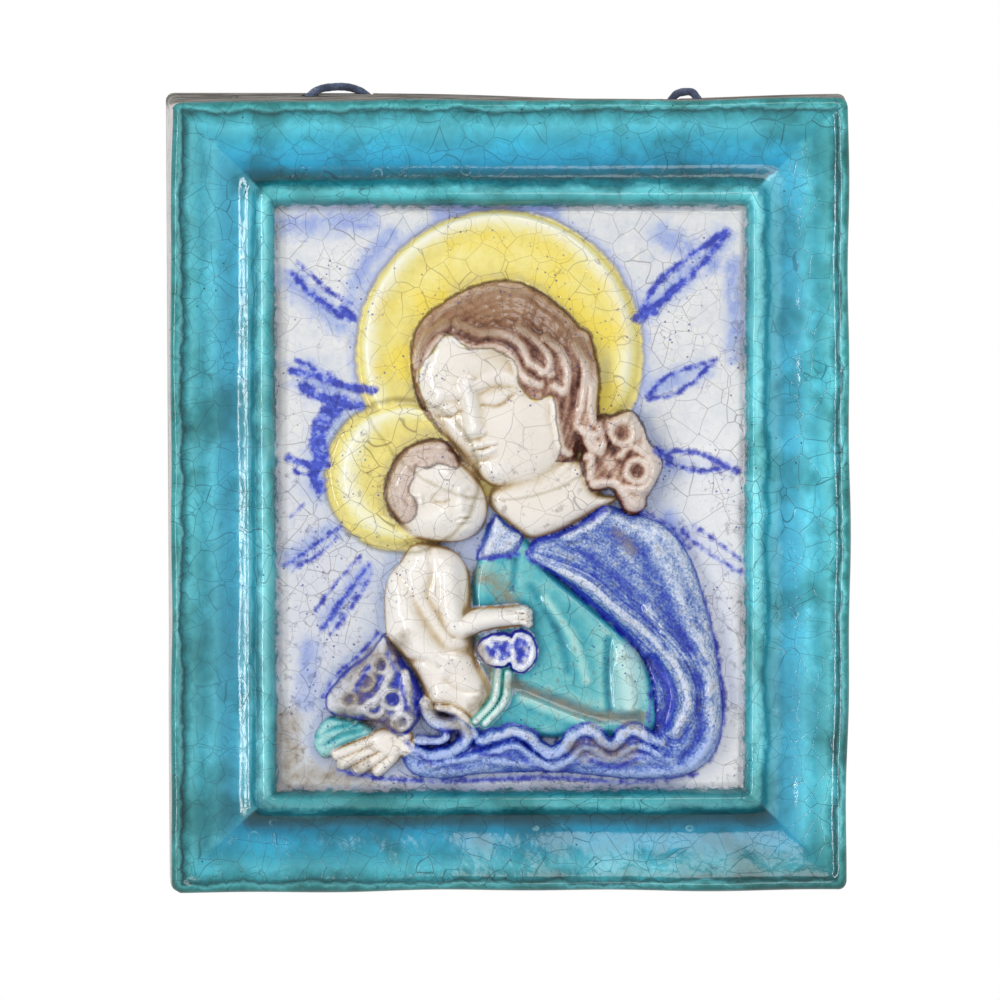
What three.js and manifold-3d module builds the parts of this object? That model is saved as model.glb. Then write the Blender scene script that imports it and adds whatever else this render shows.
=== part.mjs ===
// Relief wall plaque of tin-glazed earthenware: a mother and child with haloes on a
// sunk panel, and the moulded frame pressed in one piece with it. The back is hollow,
// with a flat rim against the wall, and a cord is knotted through two holes in the top
// wall and hangs slack in the hollow.
//
// Millimetres. X runs to the right, Z up, and the relief faces -Y. The origin is on the
// flat back rim, in the middle of its top run, where the plaque meets the wall.

import * as THREE from "three";
import { mergeVertices } from "three/addons/utils/BufferGeometryUtils.js";
import Module from "manifold-3d";

const wasm = await Module();
wasm.setup();

// ---------------------------------------------------------------- driving dimensions

const BACK = { width: 297, height: 348 }; // outline where the plaque meets the wall
// The front edge's corners, from the lower left anticlockwise, and how far each of its
// runs bows outwards in the middle.
const LIP = {
  corners: [[-145.2, -171.7], [146.9, -171.9], [145.4, 170.2], [-143.7, 168.2]],
  bow: [0, 1.2, 0, 0.6],
  rise: 34.6,
};
const CORNER = 3.5; // radius of the outer corners
const PANEL = { left: -99.4, right: 101.9, top: 123.4, bottom: -127.7 }; // from centre
const PANEL_RISE = 27.6; // the panel's ground, above the wall
const ORIGIN_UP = 169.5; // from the plaque's centre up to the origin on the rim
const SAG = { deep: 2.6, at: 52, spread: 60 }; // the slumped top edge of the back

const HOLLOW = { rim: 9, deep: 16, taper: 3, chamfer: 1 };

// The cord's two holes slant through the top wall, and a notch beside each lets it back
// over the rim: [across, y, up] of the two ends of each cut.
const BORE = {
  radius: 3.2,
  cuts: [[[-97, -8, 156], [-81, -15, 178]], [[94, -8, 156], [78.5, -15, 176]]],
};
const NOTCH = {
  radius: 4,
  cuts: [[[-46.4, -0.9, 157], [-65.4, -4.6, 178]], [[59.5, -0.9, 157], [78.5, -4.6, 178]]],
};

const CORD = { diameter: 3.5, sides: 8, steps: 42 };
const KNOT = { radius: 4.2, at: [[-95.3, -8.8, 158.3], [92.1, -8.8, 158.3]] };

// The frame's section from the outer edge in to the panel: [share of its width, rise].
const FRAME_SECTION = [
  [0, LIP.rise], [0.028, 36.6], [0.065, 37.4], [0.102, 36.4], [0.13, 35.2],
  [0.23, 33.4], [0.35, 31.4], [0.44, 29.8], [0.51, 28.2], [0.57, 27.2], [0.61, 27.2],
  [0.69, 28.9], [0.735, 29.8], [0.79, 32.6], [0.85, 34.8], [0.895, 35.4],
  [0.94, 34], [0.985, 29.4], [1, PANEL_RISE],
];

const GRID = { across: 48, up: 56, perFrameStep: 4 }; // the panel's facets

// ------------------------------------------------------- shapes on the panel's plane
// All places are [across, up] from the plaque's centre, seen from the front.

const clamp = (x) => Math.min(1, Math.max(0, x));
const ease = (x) => clamp(x) ** 2 * (3 - 2 * clamp(x));
const curve = (points, closed, steps) =>
  new THREE.CatmullRomCurve3(
    points.map(([u, v]) => new THREE.Vector3(u, v, 0)), closed, "centripetal",
  ).getPoints(points.length * steps);

const outline = (points) => curve(points, true, 5);
const stroke = (points) => curve(points, false, 5);
const ring = ([u, v], radius) => outline([0, 1, 2, 3, 4, 5].map((i) => {
  const turn = (i * Math.PI) / 3;
  return [u + radius * Math.cos(turn), v + radius * Math.sin(turn)];
}));

// Distance from a place to a line.
function away(u, v, line) {
  let best = Infinity;
  for (let i = 1; i < line.length; i++) {
    const a = line[i - 1];
    const dx = line[i].x - a.x;
    const dy = line[i].y - a.y;
    const along = clamp(((u - a.x) * dx + (v - a.y) * dy) / (dx * dx + dy * dy || 1));
    best = Math.min(best, Math.hypot(u - a.x - along * dx, v - a.y - along * dy));
  }
  return best;
}

// Distance inside an outline, and less than zero outside it.
function within(u, v, line) {
  let inside = false;
  for (let i = 1; i < line.length; i++) {
    const a = line[i - 1];
    const b = line[i];
    const crosses = a.y > v !== b.y > v;
    if (crosses && u < ((b.x - a.x) * (v - a.y)) / (b.y - a.y) + a.x) inside = !inside;
  }
  return (inside ? 1 : -1) * away(u, v, line);
}

// A pad that rises round its edge over the width of its shoulder, then stays level.
const pad = (depth, rise, shoulder) =>
  depth <= 0 ? 0 : rise * Math.sqrt(1 - (1 - clamp(depth / shoulder)) ** 2);

// A rounded ridge (or, with a rise below zero, a groove) along a line.
const ridge = (distance, rise, half) => rise * (1 - ease(distance / half));

// The higher of two surfaces, blended where they meet.
function over(a, b, blend = 0.8) {
  const mix = clamp(0.5 + (b - a) / (2 * blend));
  return a + (b - a) * mix + blend * mix * (1 - mix);
}

// ------------------------------------------------------------------------ the haloes
// Each is a shallow dish: a slope up to a raised rim, and a sunk field inside it.

const MOTHER_HALO = { at: [-3.6, 60.4], radius: 62.4, rimAt: [-4.5, 64], rim: 55.5 };
const CHILD_HALO = { at: [-46.2, 8.1], radius: 33.2, rimAt: [-42, 9.8], rim: 26.4 };

function halo(u, v, { at, radius, rimAt, rim }, rise, field) {
  const edge = radius - Math.hypot(u - at[0], v - at[1]);
  const inRim = rim - Math.hypot(u - rimAt[0], v - rimAt[1]);
  if (edge <= 0) return 0;
  if (inRim > 0) return rise + (field - rise) * ease(inRim / 9);
  return rise * ease(edge / (edge - inRim));
}

// ------------------------------------------------------------------------ the mother

const HEAD = outline([
  [-39, 40], [-42, 60], [-38.5, 73.6], [-23.2, 86], [-7.4, 91.9], [6.6, 91.1],
  [23.6, 80.4], [35.1, 65.5], [38.5, 48.9], [36, 30], [28, 14], [12, 2], [-1.5, 1.7],
  [-10.4, 5.1], [-19.4, 14], [-29, 27],
]);
const FACE = outline([
  [-38, 47], [-34, 60], [-26, 68], [-8, 62.5], [3, 57], [6.5, 45], [18.5, 42],
  [20.5, 30], [22, 18], [13, 5], [-1.5, 1.7], [-10.4, 5.1], [-19.4, 14], [-29, 27],
]);
const NECK = outline([
  [15, 40], [22, 21], [36, 14], [40, 1], [49, -1], [33, -11], [22, -16.6],
  [10, -19.5], [0, -14], [-9, -2], [-2, 8],
]);
const BUN = outline([
  [32, 22], [40, 36], [53.4, 36.2], [60, 24], [67, 12.3], [62, -1], [56.4, -7.5],
  [46, 0], [35, 2], [31, 12],
]);
const LOCKS = [
  stroke([[-29, 68], [-34, 62], [-38.5, 50]]),
  stroke([[-23, 67], [-16, 63], [-6, 64], [2, 59], [6, 51], [13, 47.5]]),
  stroke([[3.9, 70], [11.3, 66], [16.8, 59.6], [16, 53]]),
  stroke([[15, 66.4], [22, 61.7], [25.3, 50], [22, 43]]),
  stroke([[28.3, 64.7], [32.6, 55.3], [31, 40], [30, 29], [36, 26], [39, 19]]),
  stroke([[19.2, 39.6], [21, 29], [25, 18], [35, 17], [34.5, 6]]),
  stroke([[38, 6], [46, 6], [53, -4]]),
];
const CURLS = [ring([49.2, 27.4], 5.5), ring([56, 10], 6)];

// The face is turned to the left and bent down to the child. Its own axes start at the
// chin: along runs up the middle of the face, and aside is to the viewer's right.
const FACE_TURN = 0.28;
const CHIN = [-3, 3.5];
const FACE_BUMPS = [
  // aside, along, half width, half height, rise
  [-6, 60, 16, 9, 1.2], // forehead
  [-3, 32, 2.6, 10, 3.2], // nose, bridge to tip
  [-3.5, 24.5, 3.2, 3, 1.6], // tip and wings
  [-13, 37, 5, 3.5, -1], // eye hollows
  [9, 37, 6.5, 4, -1.3],
  [11, 26, 8, 8, 1.2], // cheeks
  [-13, 25, 5, 7, 0.7],
  [-1.5, 15.5, 5, 2, 1.4], // lips
  [-1.5, 10.5, 5, 1.4, -0.9],
  [0, 4.5, 5.5, 3.6, 1.6], // chin
];

function faceRelief(u, v, [cu, cv], turn, bumps) {
  const aside = (u - cu) * Math.cos(turn) + (v - cv) * Math.sin(turn);
  const along = (v - cv) * Math.cos(turn) - (u - cu) * Math.sin(turn);
  return bumps.reduce((sum, [a, b, wide, high, rise]) =>
    sum + rise * Math.exp(-(((aside - a) / wide) ** 2) - ((along - b) / high) ** 2), 0);
}

function mother(u, v) {
  const head = pad(within(u, v, HEAD), 13, 24);
  const skin = within(u, v, FACE);
  let h = over(pad(within(u, v, NECK), 8, 12), head);
  if (skin > 0) h += faceRelief(u, v, CHIN, FACE_TURN, FACE_BUMPS);
  if (head > 0 && skin < 0) h += 1.6 * ease(-skin / 3);
  h = over(h, pad(within(u, v, BUN), 9, 5));
  if (h > 5 && skin < 2) {
    h += Math.max(...[...LOCKS, ...CURLS].map((line) => ridge(away(u, v, line), 2, 3.4)));
  }
  return h;
}

// ------------------------------------------------------------------------- the child

const CHILD_HEAD = outline([
  [-53.4, -2.6], [-53, 6], [-47, 18], [-38.5, 23], [-28, 24], [-20.5, 16], [-12.5, 6.8],
  [-8.5, -3], [-10, -13], [-17.5, -19.5], [-30, -21], [-41, -18.5], [-48, -12],
]);
const CHILD_CAP = outline([
  [-47, -12], [-53.4, -2.6], [-53, 6], [-47, 18], [-38.5, 23], [-28, 24], [-20.5, 16],
  [-22.5, 11.6], [-34, 12.4], [-39.6, 12], [-42.8, 4], [-38.9, -4], [-42, -11],
]);
const CHILD_BODY = outline([
  [-40.6, -20.9], [-48, -30], [-53.4, -43], [-53, -60], [-47.5, -68], [-40, -78.5],
  [-35.5, -91.5], [-26, -94], [-15.5, -99.6], [-6.2, -87], [-10.5, -75], [-15.5, -64.5],
  [-15.5, -48], [-17.7, -31], [-25, -23.2],
]);
const CHILD_ARM = stroke([[-26, -34], [-25, -48], [-22, -57], [-12, -54.5], [3.5, -52.5]]);
const CHILD_CREASES = [
  stroke([[-46.6, -35], [-41, -45], [-32, -60], [-18, -67.5]]),
  stroke([[-34.5, -45], [-28.7, -54]]),
];
const CHILD_CHIN = [-20.5, -17];
const CHILD_TURN = 0.12;
const CHILD_BUMPS = [
  [-4, 26, 10, 6, 1], // forehead
  [2, 13.5, 2, 3.2, 1.8], // nose
  [-6.5, 17, 3.4, 2.4, -0.8], // eye hollows
  [6, 17, 2.6, 2.2, -0.7],
  [-8, 9, 4.6, 4.4, 1.2], // cheek
  [2, 7.6, 2.8, 1.2, 0.9], // lips
  [1, 2.5, 3, 2.2, 0.9], // chin
];

function child(u, v) {
  const inHead = within(u, v, CHILD_HEAD);
  let head = pad(inHead, 13.5, 15);
  if (inHead > 0) {
    head += faceRelief(u, v, CHILD_CHIN, CHILD_TURN, CHILD_BUMPS);
    head += pad(within(u, v, CHILD_CAP), 1.3, 2.5);
  }
  let body = pad(within(u, v, CHILD_BODY), 11, 12);
  if (body > 0) {
    for (const crease of CHILD_CREASES) body += ridge(away(u, v, crease), -2.2, 4);
  }
  return over(over(body, pad(6.6 - away(u, v, CHILD_ARM), 13, 6.6), 1.2), head, 0.6);
}

// ----------------------------------------------------------------------- the drapery

const MANTLE = outline([
  [7.4, -26], [12, -19.2], [22, -16.6], [32.6, -11], [41, -4.7], [46.6, -5.5],
  [58, -8.5], [68, -13.6], [76, -22], [84.9, -43], [91.3, -71.5], [93, -104],
  [88, -116], [77, -122.6], [57, -124.3], [20.6, -121], [-12, -121.7], [-29, -123.8],
  [-42, -120.9], [-46.4, -112.8], [-45, -106], [-33, -111], [-20, -107], [-12, -106.4],
  [2.3, -102], [18.9, -111.3], [33.4, -101], [44, -108], [53, -101], [62, -104],
  [61.9, -82], [54.7, -66.4], [38.5, -51], [18.9, -34],
]);
const DRESS = outline([
  [-13.4, -28], [-5.5, -9], [6.6, -17.4], [19, -33], [39, -50], [55, -65.5],
  [63, -82], [64, -103], [40, -106], [0, -105], [-18, -103], [-15, -64], [-16, -40],
]);
const COLLAR = outline([[-5.7, -8.5], [-10, -19], [-13.4, -28], [-5, -27.5], [3.2, -25.7],
  [6.6, -18], [0, -13]]);
const BUNCH = outline([
  [-53.4, -60.4], [-59, -67], [-71, -77], [-79, -88], [-77.7, -94.5], [-68, -98],
  [-56, -99], [-46, -105], [-36.8, -94.5], [-37, -86], [-41, -77], [-48.7, -67],
]);
const SLEEVE = outline([[-77.9, -96.2], [-60, -99.5], [-57.5, -103.4], [-71.7, -109.4],
  [-79.4, -114.5], [-84.5, -107.7]]);
const FINGERS = [[-66, -110], [-60.5, -112.8], [-55, -112.5]].map(([u, v]) =>
  stroke([[u + 7, v + 4.6], [u - 7, v - 4.6]]));
const FOLDS = [
  // line, rise, half width
  [stroke([[10.9, -28.9], [33.4, -37.9], [57.2, -57.5], [73.4, -75.3], [77.5, -90],
    [72, -102]]), 3, 4.4],
  [stroke([[74.3, -68], [84, -75], [88, -84]]), 1.8, 4.2],
  [stroke([[24.5, -17.4], [43.2, -5.5]]), 1.8, 4],
  [stroke([[62, -72], [69.5, -85], [68, -99]]), -3, 5],
  [stroke([[55, -20], [72, -55], [84, -80]]), -1.2, 6],
];
const DRESS_FOLDS = [
  [stroke([[3.2, -28], [1.7, -41]]), -1, 3.6],
  [stroke([[44, -67], [44, -93]]), -1.4, 3.6],
  [stroke([[49, -69], [53, -90]]), 1.6, 5],
  [stroke([[1, -81.7], [22, -89.4], [39, -95.8], [56, -96.6]]), -1.6, 5],
];
const HEM = stroke([[-31, -92], [-24, -92.5], [-18, -101], [-24, -108.5], [-12, -108],
  [2.3, -103.5], [18.9, -112.3], [33.4, -102.5], [44, -109], [53, -102.5], [66, -108]]);
const SWIRL = stroke([[-33.5, -91], [-33, -97], [-25, -100], [-23, -106], [-35, -112],
  [-45, -110]]);
const ROSETTE = [outline([[-13.8, -66], [-7, -59.5], [2.3, -61.7], [3.2, -72.4],
  [-7.4, -74.5]]), outline([[2.3, -59.5], [11.3, -62], [12, -70.6], [6.2, -77.2],
  [1.5, -74]])];
const RIBBONS = [stroke([[-4.5, -75.8], [-6.2, -88.5], [-14.3, -97.9]]),
  stroke([[-0.2, -77], [-1.5, -88.5], [-10, -98.7]])];

const folded = (u, v, folds) =>
  folds.reduce((sum, [line, rise, half]) => sum + ridge(away(u, v, line), rise, half), 0);

function drapery(u, v) {
  let dress = pad(within(u, v, DRESS), 6.4, 6);
  if (dress > 0) dress += folded(u, v, DRESS_FOLDS);
  dress = over(dress, pad(within(u, v, COLLAR), 8.4, 4));
  let mantle = pad(within(u, v, MANTLE), 7.4, 6);
  if (mantle > 0) mantle += 1.6 * ease(within(u, v, MANTLE) / 18) + folded(u, v, FOLDS);
  let h = over(dress, mantle, 0.5);
  h = over(h, pad(within(u, v, BUNCH), 8.5, 7));
  h = over(h, pad(within(u, v, SLEEVE), 6.5, 4));
  for (const finger of FINGERS) h = over(h, pad(3.6 - away(u, v, finger), 6.6, 3.6));
  for (const roll of [HEM, SWIRL]) h = over(h, pad(3.6 - away(u, v, roll), 9.4, 3.6));
  for (const tail of RIBBONS) h = over(h, pad(2.6 - away(u, v, tail), 9.6, 2.6));
  for (const petal of ROSETTE) {
    const depth = within(u, v, petal);
    h = over(h, pad(depth, 12.4, 4) - 2 * ease((depth - 2) / 3));
  }
  return h;
}

// Rise of the relief above the wall, anywhere on the panel.
function relief(u, v) {
  const haloes = over(halo(u, v, MOTHER_HALO, 4.4, 2.2), halo(u, v, CHILD_HALO, 6, 4), 0.5);
  const figures = [mother(u, v), drapery(u, v), child(u, v)];
  return PANEL_RISE + figures.reduce((h, figure) => over(h, figure, 0.6), haloes);
}

// ------------------------------------------------------------------- the plaque's body

const place = (u, v, rise) => new THREE.Vector3(u, -rise, v - ORIGIN_UP);

// Slight waver of the hand-finished edges.
const waver = (s) => 0.4 * Math.sin(0.031 * s + 0.7) + 0.3 * Math.sin(0.083 * s + 2.1);

// Stations round the frame, from the panel's lower left corner anticlockwise. Each has
// its place on the panel's edge, on the front edge and on the back outline.
const STATIONS = [];
{
  const { left, right, top, bottom } = PANEL;
  const corners = [[left, bottom], [right, bottom], [right, top], [left, top]];
  const signs = [[-1, -1], [1, -1], [1, 1], [-1, 1]];
  const backCorners = signs.map(([x, z]) => [(x * BACK.width) / 2, (z * BACK.height) / 2]);

  for (let side = 0; side < 4; side++) {
    const next = (side + 1) % 4;
    const count = (side % 2 ? GRID.up : GRID.across) / GRID.perFrameStep;
    const run = side % 2 ? [0, 1] : [1, 0];
    const heading = side < 2 ? 1 : -1;
    for (let i = 0; i <= count; i++) {
      const share = i / count;
      const trim = CORNER * (i === 0) - CORNER * (i === count);
      const at = (ends, bow = 0) => [0, 1].map((k) =>
        ends[side][k] + (ends[next][k] - ends[side][k]) * share + run[k] * heading * trim
        + (1 - run[k]) * Math.sign(ends[side][k]) * bow * 4 * share * (1 - share));
      const panel = [0, 1].map((k) =>
        corners[side][k] + (corners[next][k] - corners[side][k]) * share);
      const lip = at(LIP.corners, LIP.bow[side]);
      STATIONS.push({ panel, lip, back: at(backCorners), side, step: i });
    }
    const [lip, back] = [LIP.corners, backCorners].map((ends) =>
      ends[next].map((x) => x - Math.sign(x) * CORNER * 0.293));
    STATIONS.push({ panel: corners[next], lip, back, side, step: -1 });
  }
  STATIONS.forEach((station, i) => {
    const push = waver((i * 1300) / STATIONS.length);
    const along = station.side % 2;
    station.lip[1 - along] += push * Math.sign(station.lip[1 - along]);
  });

  // The rounding of a corner dies out inwards, into the mitre of the two frame runs.
  STATIONS.forEach((station, i) => {
    const near = [i, i + 1, i - 1].map((k) => STATIONS.at(k % STATIONS.length));
    station.mitre = (near.find(({ step }) => step < 0) ?? station).lip;
  });
}

// Inset towards the middle, for the rim and the hollow behind.
const inset = ([u, v], by) =>
  [u * (1 - (2 * by) / BACK.width), v * (1 - (2 * by) / BACK.height)];

// One point of each ring round the plaque, from the hollow's floor out to the panel.
function ringsAt({ panel, lip, back, mitre }) {
  const slump = back[1] > 0 ? SAG.deep * Math.exp(-(((back[0] - SAG.at) / SAG.spread) ** 2)) : 0;
  const wall = [back[0], back[1] - slump];
  const flared = (rise) => {
    const share = rise / LIP.rise;
    return place(wall[0] + (lip[0] - wall[0]) * share, wall[1] + (lip[1] - wall[1]) * share, rise);
  };
  const floor = inset(back, HOLLOW.rim + HOLLOW.taper);
  const foot = inset(back, HOLLOW.rim + HOLLOW.taper * 0.6);
  const mouth = inset(back, HOLLOW.rim);
  return [
    place(...floor, HOLLOW.deep), place(...foot, HOLLOW.deep - 2.5), place(...mouth, 0),
    place(...inset(wall, HOLLOW.chamfer), 0), flared(HOLLOW.chamfer), flared(12), flared(24),
    ...FRAME_SECTION.slice(0, -1).map(([share, rise]) => {
      const [u, v] = [0, 1].map((k) => {
        const outer = lip[k] + (mitre[k] - lip[k]) * clamp(share / 0.2);
        return outer + (panel[k] - outer) * share;
      });
      return place(u, v, rise);
    }),
  ];
}

function plaqueGeometry() {
  const triangles = [];
  const triangle = (a, b, c) => {
    if (a.distanceTo(b) > 1e-4 && b.distanceTo(c) > 1e-4 && c.distanceTo(a) > 1e-4) {
      triangles.push(a, b, c);
    }
  };
  const quad = (a, b, c, d) => { triangle(a, b, c); triangle(a, c, d); };

  // The panel's facets, split the way that follows the form more closely.
  const { left, right, top, bottom } = PANEL;
  const grid = Array.from({ length: GRID.up + 1 }, (_, j) =>
    Array.from({ length: GRID.across + 1 }, (_, i) => {
      const u = left + ((right - left) * i) / GRID.across;
      const v = bottom + ((top - bottom) * j) / GRID.up;
      const edge = i === 0 || j === 0 || i === GRID.across || j === GRID.up;
      return place(u, v, edge ? PANEL_RISE : relief(u, v));
    }));
  for (let j = 0; j < GRID.up; j++) {
    for (let i = 0; i < GRID.across; i++) {
      const [a, b] = [grid[j][i], grid[j][i + 1]];
      const [d, c] = [grid[j + 1][i], grid[j + 1][i + 1]];
      if (Math.abs(a.y - c.y) < Math.abs(b.y - d.y)) quad(a, b, c, d);
      else quad(b, c, d, a);
    }
  }

  // The grid's own edge points between two frame stations.
  const edgePoint = (side, k) => {
    if (side === 0) return grid[0][k];
    if (side === 1) return grid[k][GRID.across];
    if (side === 2) return grid[GRID.up][GRID.across - k];
    return grid[GRID.up - k][0];
  };

  const rings = STATIONS.map(ringsAt);
  const middle = place(0, 0, HOLLOW.deep);
  STATIONS.forEach((station, s) => {
    const here = rings[s];
    const next = rings[(s + 1) % rings.length];
    triangle(middle, next[0], here[0]);
    for (let r = 1; r < here.length; r++) quad(here[r - 1], next[r - 1], next[r], here[r]);

    const [a, b] = [here.at(-1), next.at(-1)];
    const atCorner = station.step < 0 || STATIONS[(s + 1) % rings.length].step < 0;
    if (atCorner) {
      const turn = station.step < 0 ? STATIONS[(s + 1) % rings.length] : station;
      const corner = edgePoint(turn.side, turn.step * GRID.perFrameStep);
      triangle(a, b, corner);
      return;
    }
    const first = station.step * GRID.perFrameStep;
    const half = GRID.perFrameStep / 2;
    for (let k = 0; k < GRID.perFrameStep; k++) {
      const p = edgePoint(station.side, first + k);
      const q = edgePoint(station.side, first + k + 1);
      triangle(k < half ? a : b, q, p);
    }
    triangle(a, b, edgePoint(station.side, first + half));
  });
  return new THREE.BufferGeometry().setFromPoints(triangles);
}

// ------------------------------------------------------------------ holes and notches

function solid(geometry) {
  geometry.deleteAttribute("normal");
  geometry.deleteAttribute("uv");
  const merged = mergeVertices(geometry, 1e-4);
  return new wasm.Manifold(new wasm.Mesh({
    numProp: 3,
    vertProperties: new Float32Array(merged.attributes.position.array),
    triVerts: new Uint32Array(merged.index.array),
  }));
}

function rod(start, end, radius) {
  const [from, to] = [start, end].map(([u, y, up]) => place(u, up, -y));
  const length = from.distanceTo(to);
  const geometry = new THREE.CylinderGeometry(radius, radius, length, 12);
  const turn = new THREE.Quaternion().setFromUnitVectors(
    new THREE.Vector3(0, 1, 0), to.clone().sub(from).normalize());
  geometry.applyQuaternion(turn);
  return geometry.translate(...from.clone().add(to).multiplyScalar(0.5).toArray());
}

function bored(geometry) {
  let body = solid(geometry);
  for (const { radius, cuts } of [BORE, NOTCH]) {
    for (const [from, to] of cuts) body = body.subtract(solid(rod(from, to, radius)));
  }
  const { vertProperties, triVerts } = body.getMesh();
  const cut = new THREE.BufferGeometry();
  cut.setAttribute("position", new THREE.BufferAttribute(vertProperties, 3));
  cut.setIndex(new THREE.BufferAttribute(triVerts, 1));
  const flat = cut.toNonIndexed();
  flat.computeVertexNormals();
  return flat;
}

// --------------------------------------------------------------------- the hung cord
// [across, y, up]: from the left knot out of its hole, over the back edge in its notch,
// slack across the hollow, and up and over again to the right knot.

const CORD_ROUTE = [
  [-92.7, -9.9, 161.9], [-89, -11.5, 167], [-85.6, -12.9, 171.8], [-81.2, -12.5, 174.8],
  [-75.1, -10.2, 176], [-69.4, -7.4, 176.1], [-64.3, -5, 174.8], [-60, -3.6, 172],
  [-55.6, -2.9, 167], [-51.2, -2.8, 162], [-46.4, -4.6, 156.4], [-40.8, -6.4, 149],
  [-33.4, -7.8, 139.5], [-24.1, -8.2, 130], [-12.9, -8.2, 123], [1, -8.2, 120],
  [17, -8.2, 122.4], [30.8, -8.2, 129], [42, -8, 138], [51.1, -7, 147.6], [58.1, -5, 156],
  [63.7, -2.8, 162], [67.5, -2.8, 166.2], [71.3, -3.6, 170], [74.3, -5.4, 173.4],
  [77.5, -8.2, 174.2], [80.7, -10.9, 173.8], [83.5, -12.7, 170], [86.5, -11.7, 166],
  [89.5, -10, 161.8],
];

function cordGeometry() {
  const route = new THREE.CatmullRomCurve3(
    CORD_ROUTE.map(([u, y, up]) => place(u, up, -y)), false, "centripetal");
  const section = new THREE.Shape(Array.from({ length: CORD.sides }, (_, i) => {
    const turn = (i * 2 * Math.PI) / CORD.sides;
    return new THREE.Vector2(Math.cos(turn), Math.sin(turn)).multiplyScalar(CORD.diameter / 2);
  }));
  return new THREE.ExtrudeGeometry(section, { steps: CORD.steps, extrudePath: route });
}

// --------------------------------------------------------------------------- the part

const named = (name, geometry, material) => {
  const mesh = new THREE.Mesh(geometry, material);
  mesh.name = name;
  return mesh;
};

const glazedEarthenware = new THREE.MeshStandardMaterial({ color: 0x3fa3b5, roughness: 0.15 });
const cordCotton = new THREE.MeshStandardMaterial({ color: 0x45526e, roughness: 0.85 });
const knotCotton = new THREE.MeshStandardMaterial({ color: 0x3f4a63, roughness: 0.85 });

const part = new THREE.Group();
part.add(named("plaque", bored(plaqueGeometry()), glazedEarthenware));
part.add(named("hanging_cord", cordGeometry(), cordCotton));
["cord_knot_left", "cord_knot_right"].forEach((name, i) => {
  const knot = named(name, new THREE.SphereGeometry(KNOT.radius, 10, 8), knotCotton);
  const [u, y, up] = KNOT.at[i];
  knot.position.copy(place(u, up, -y));
  part.add(knot);
});

export default part;
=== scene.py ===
# Looks of the relief wall plaque: a glazed earthenware mother and child with haloes in
# their moulded frame, pressed as one piece, and the slack cord it hangs by.
import math

import bmesh
import bpy
import numpy as np
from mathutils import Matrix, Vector


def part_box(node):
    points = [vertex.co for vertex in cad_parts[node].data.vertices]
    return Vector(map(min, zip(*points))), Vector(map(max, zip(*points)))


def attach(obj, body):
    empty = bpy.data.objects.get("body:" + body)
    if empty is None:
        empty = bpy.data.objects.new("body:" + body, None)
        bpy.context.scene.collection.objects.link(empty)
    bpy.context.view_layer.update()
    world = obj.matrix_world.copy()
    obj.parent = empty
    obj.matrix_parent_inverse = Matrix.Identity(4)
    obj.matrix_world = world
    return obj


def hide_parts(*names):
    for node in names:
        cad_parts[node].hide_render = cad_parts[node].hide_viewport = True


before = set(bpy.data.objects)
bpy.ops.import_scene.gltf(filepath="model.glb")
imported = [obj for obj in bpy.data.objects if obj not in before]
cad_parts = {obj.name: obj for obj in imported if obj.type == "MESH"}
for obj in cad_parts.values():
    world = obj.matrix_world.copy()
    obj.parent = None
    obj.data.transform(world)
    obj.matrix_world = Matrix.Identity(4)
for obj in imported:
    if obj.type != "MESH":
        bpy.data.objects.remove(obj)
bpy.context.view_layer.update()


# The studio. The plaque stands before a white surround, seen by a long lens from a little
# above and to the left. One tall strip of soft light stands on the left, and the rest of
# the light comes evenly from all round. A pale floor lies well below.
low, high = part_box("plaque")
middle = (low + high) / 2
scene = bpy.context.scene
scene.view_settings.view_transform = "Standard"

camera_data = bpy.data.cameras.new("camera")
camera_data.sensor_width = 36
camera_data.lens = 126.5
camera = bpy.data.objects.new("camera", camera_data)
scene.collection.objects.link(camera)
camera.location = Vector((-0.045, low.y - 1.5, middle.z + 0.089))
aim = Vector((-0.0036, -0.0346, middle.z - 0.0021)) - camera.location
camera.rotation_euler = aim.to_track_quat("-Z", "Y").to_euler()
scene.camera = camera


def linear(code):
    """A colour such as "#3FA3B5" in the linear values that a shader takes."""
    parts = [int(code[i:i + 2], 16) / 255 for i in (1, 3, 5)]
    parts = [c / 12.92 if c <= 0.04045 else ((c + 0.055) / 1.055) ** 2.4 for c in parts]
    return (*parts, 1.0)


def add(tree, kind, inputs=(), output=0, stops=None, **settings):
    """Adds a shader node, sets it up, links what is a socket, and gives one output."""
    made = tree.nodes.new("ShaderNode" + kind)
    for key, value in settings.items():
        setattr(made, key, value)
    if stops:
        ramp = made.color_ramp.elements
        ramp.remove(ramp[1])
        ramp[0].position = stops[0][0]
        ramp[0].color = linear(stops[0][1])
        for at, code in stops[1:]:
            ramp.new(at).color = linear(code)
    named = inputs.items() if isinstance(inputs, dict) else enumerate(inputs)
    for key, value in named:
        if isinstance(value, bpy.types.NodeSocket):
            tree.links.new(value, made.inputs[key])
        else:
            made.inputs[key].default_value = value
    return made.outputs[output]


def material(name):
    """A material with an empty tree, and its output node."""
    made = bpy.data.materials.new(name)
    made.use_nodes = True
    made.node_tree.nodes.clear()
    return made, made.node_tree, made.node_tree.nodes.new("ShaderNodeOutputMaterial")


world = bpy.data.worlds.new("white surround")
world.use_nodes = True
scene.world = world
sky = world.node_tree
sky.nodes.clear()
seen = add(sky, "Background", {"Color": (1, 1, 1, 1), "Strength": 1.0})
lit = add(sky, "Background", {"Color": (1, 1, 1, 1), "Strength": 0.62})
straight = add(sky, "LightPath")
surround = add(sky, "MixShader", (straight, lit, seen))
sky.links.new(surround, sky.nodes.new("ShaderNodeOutputWorld").inputs["Surface"])

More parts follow.
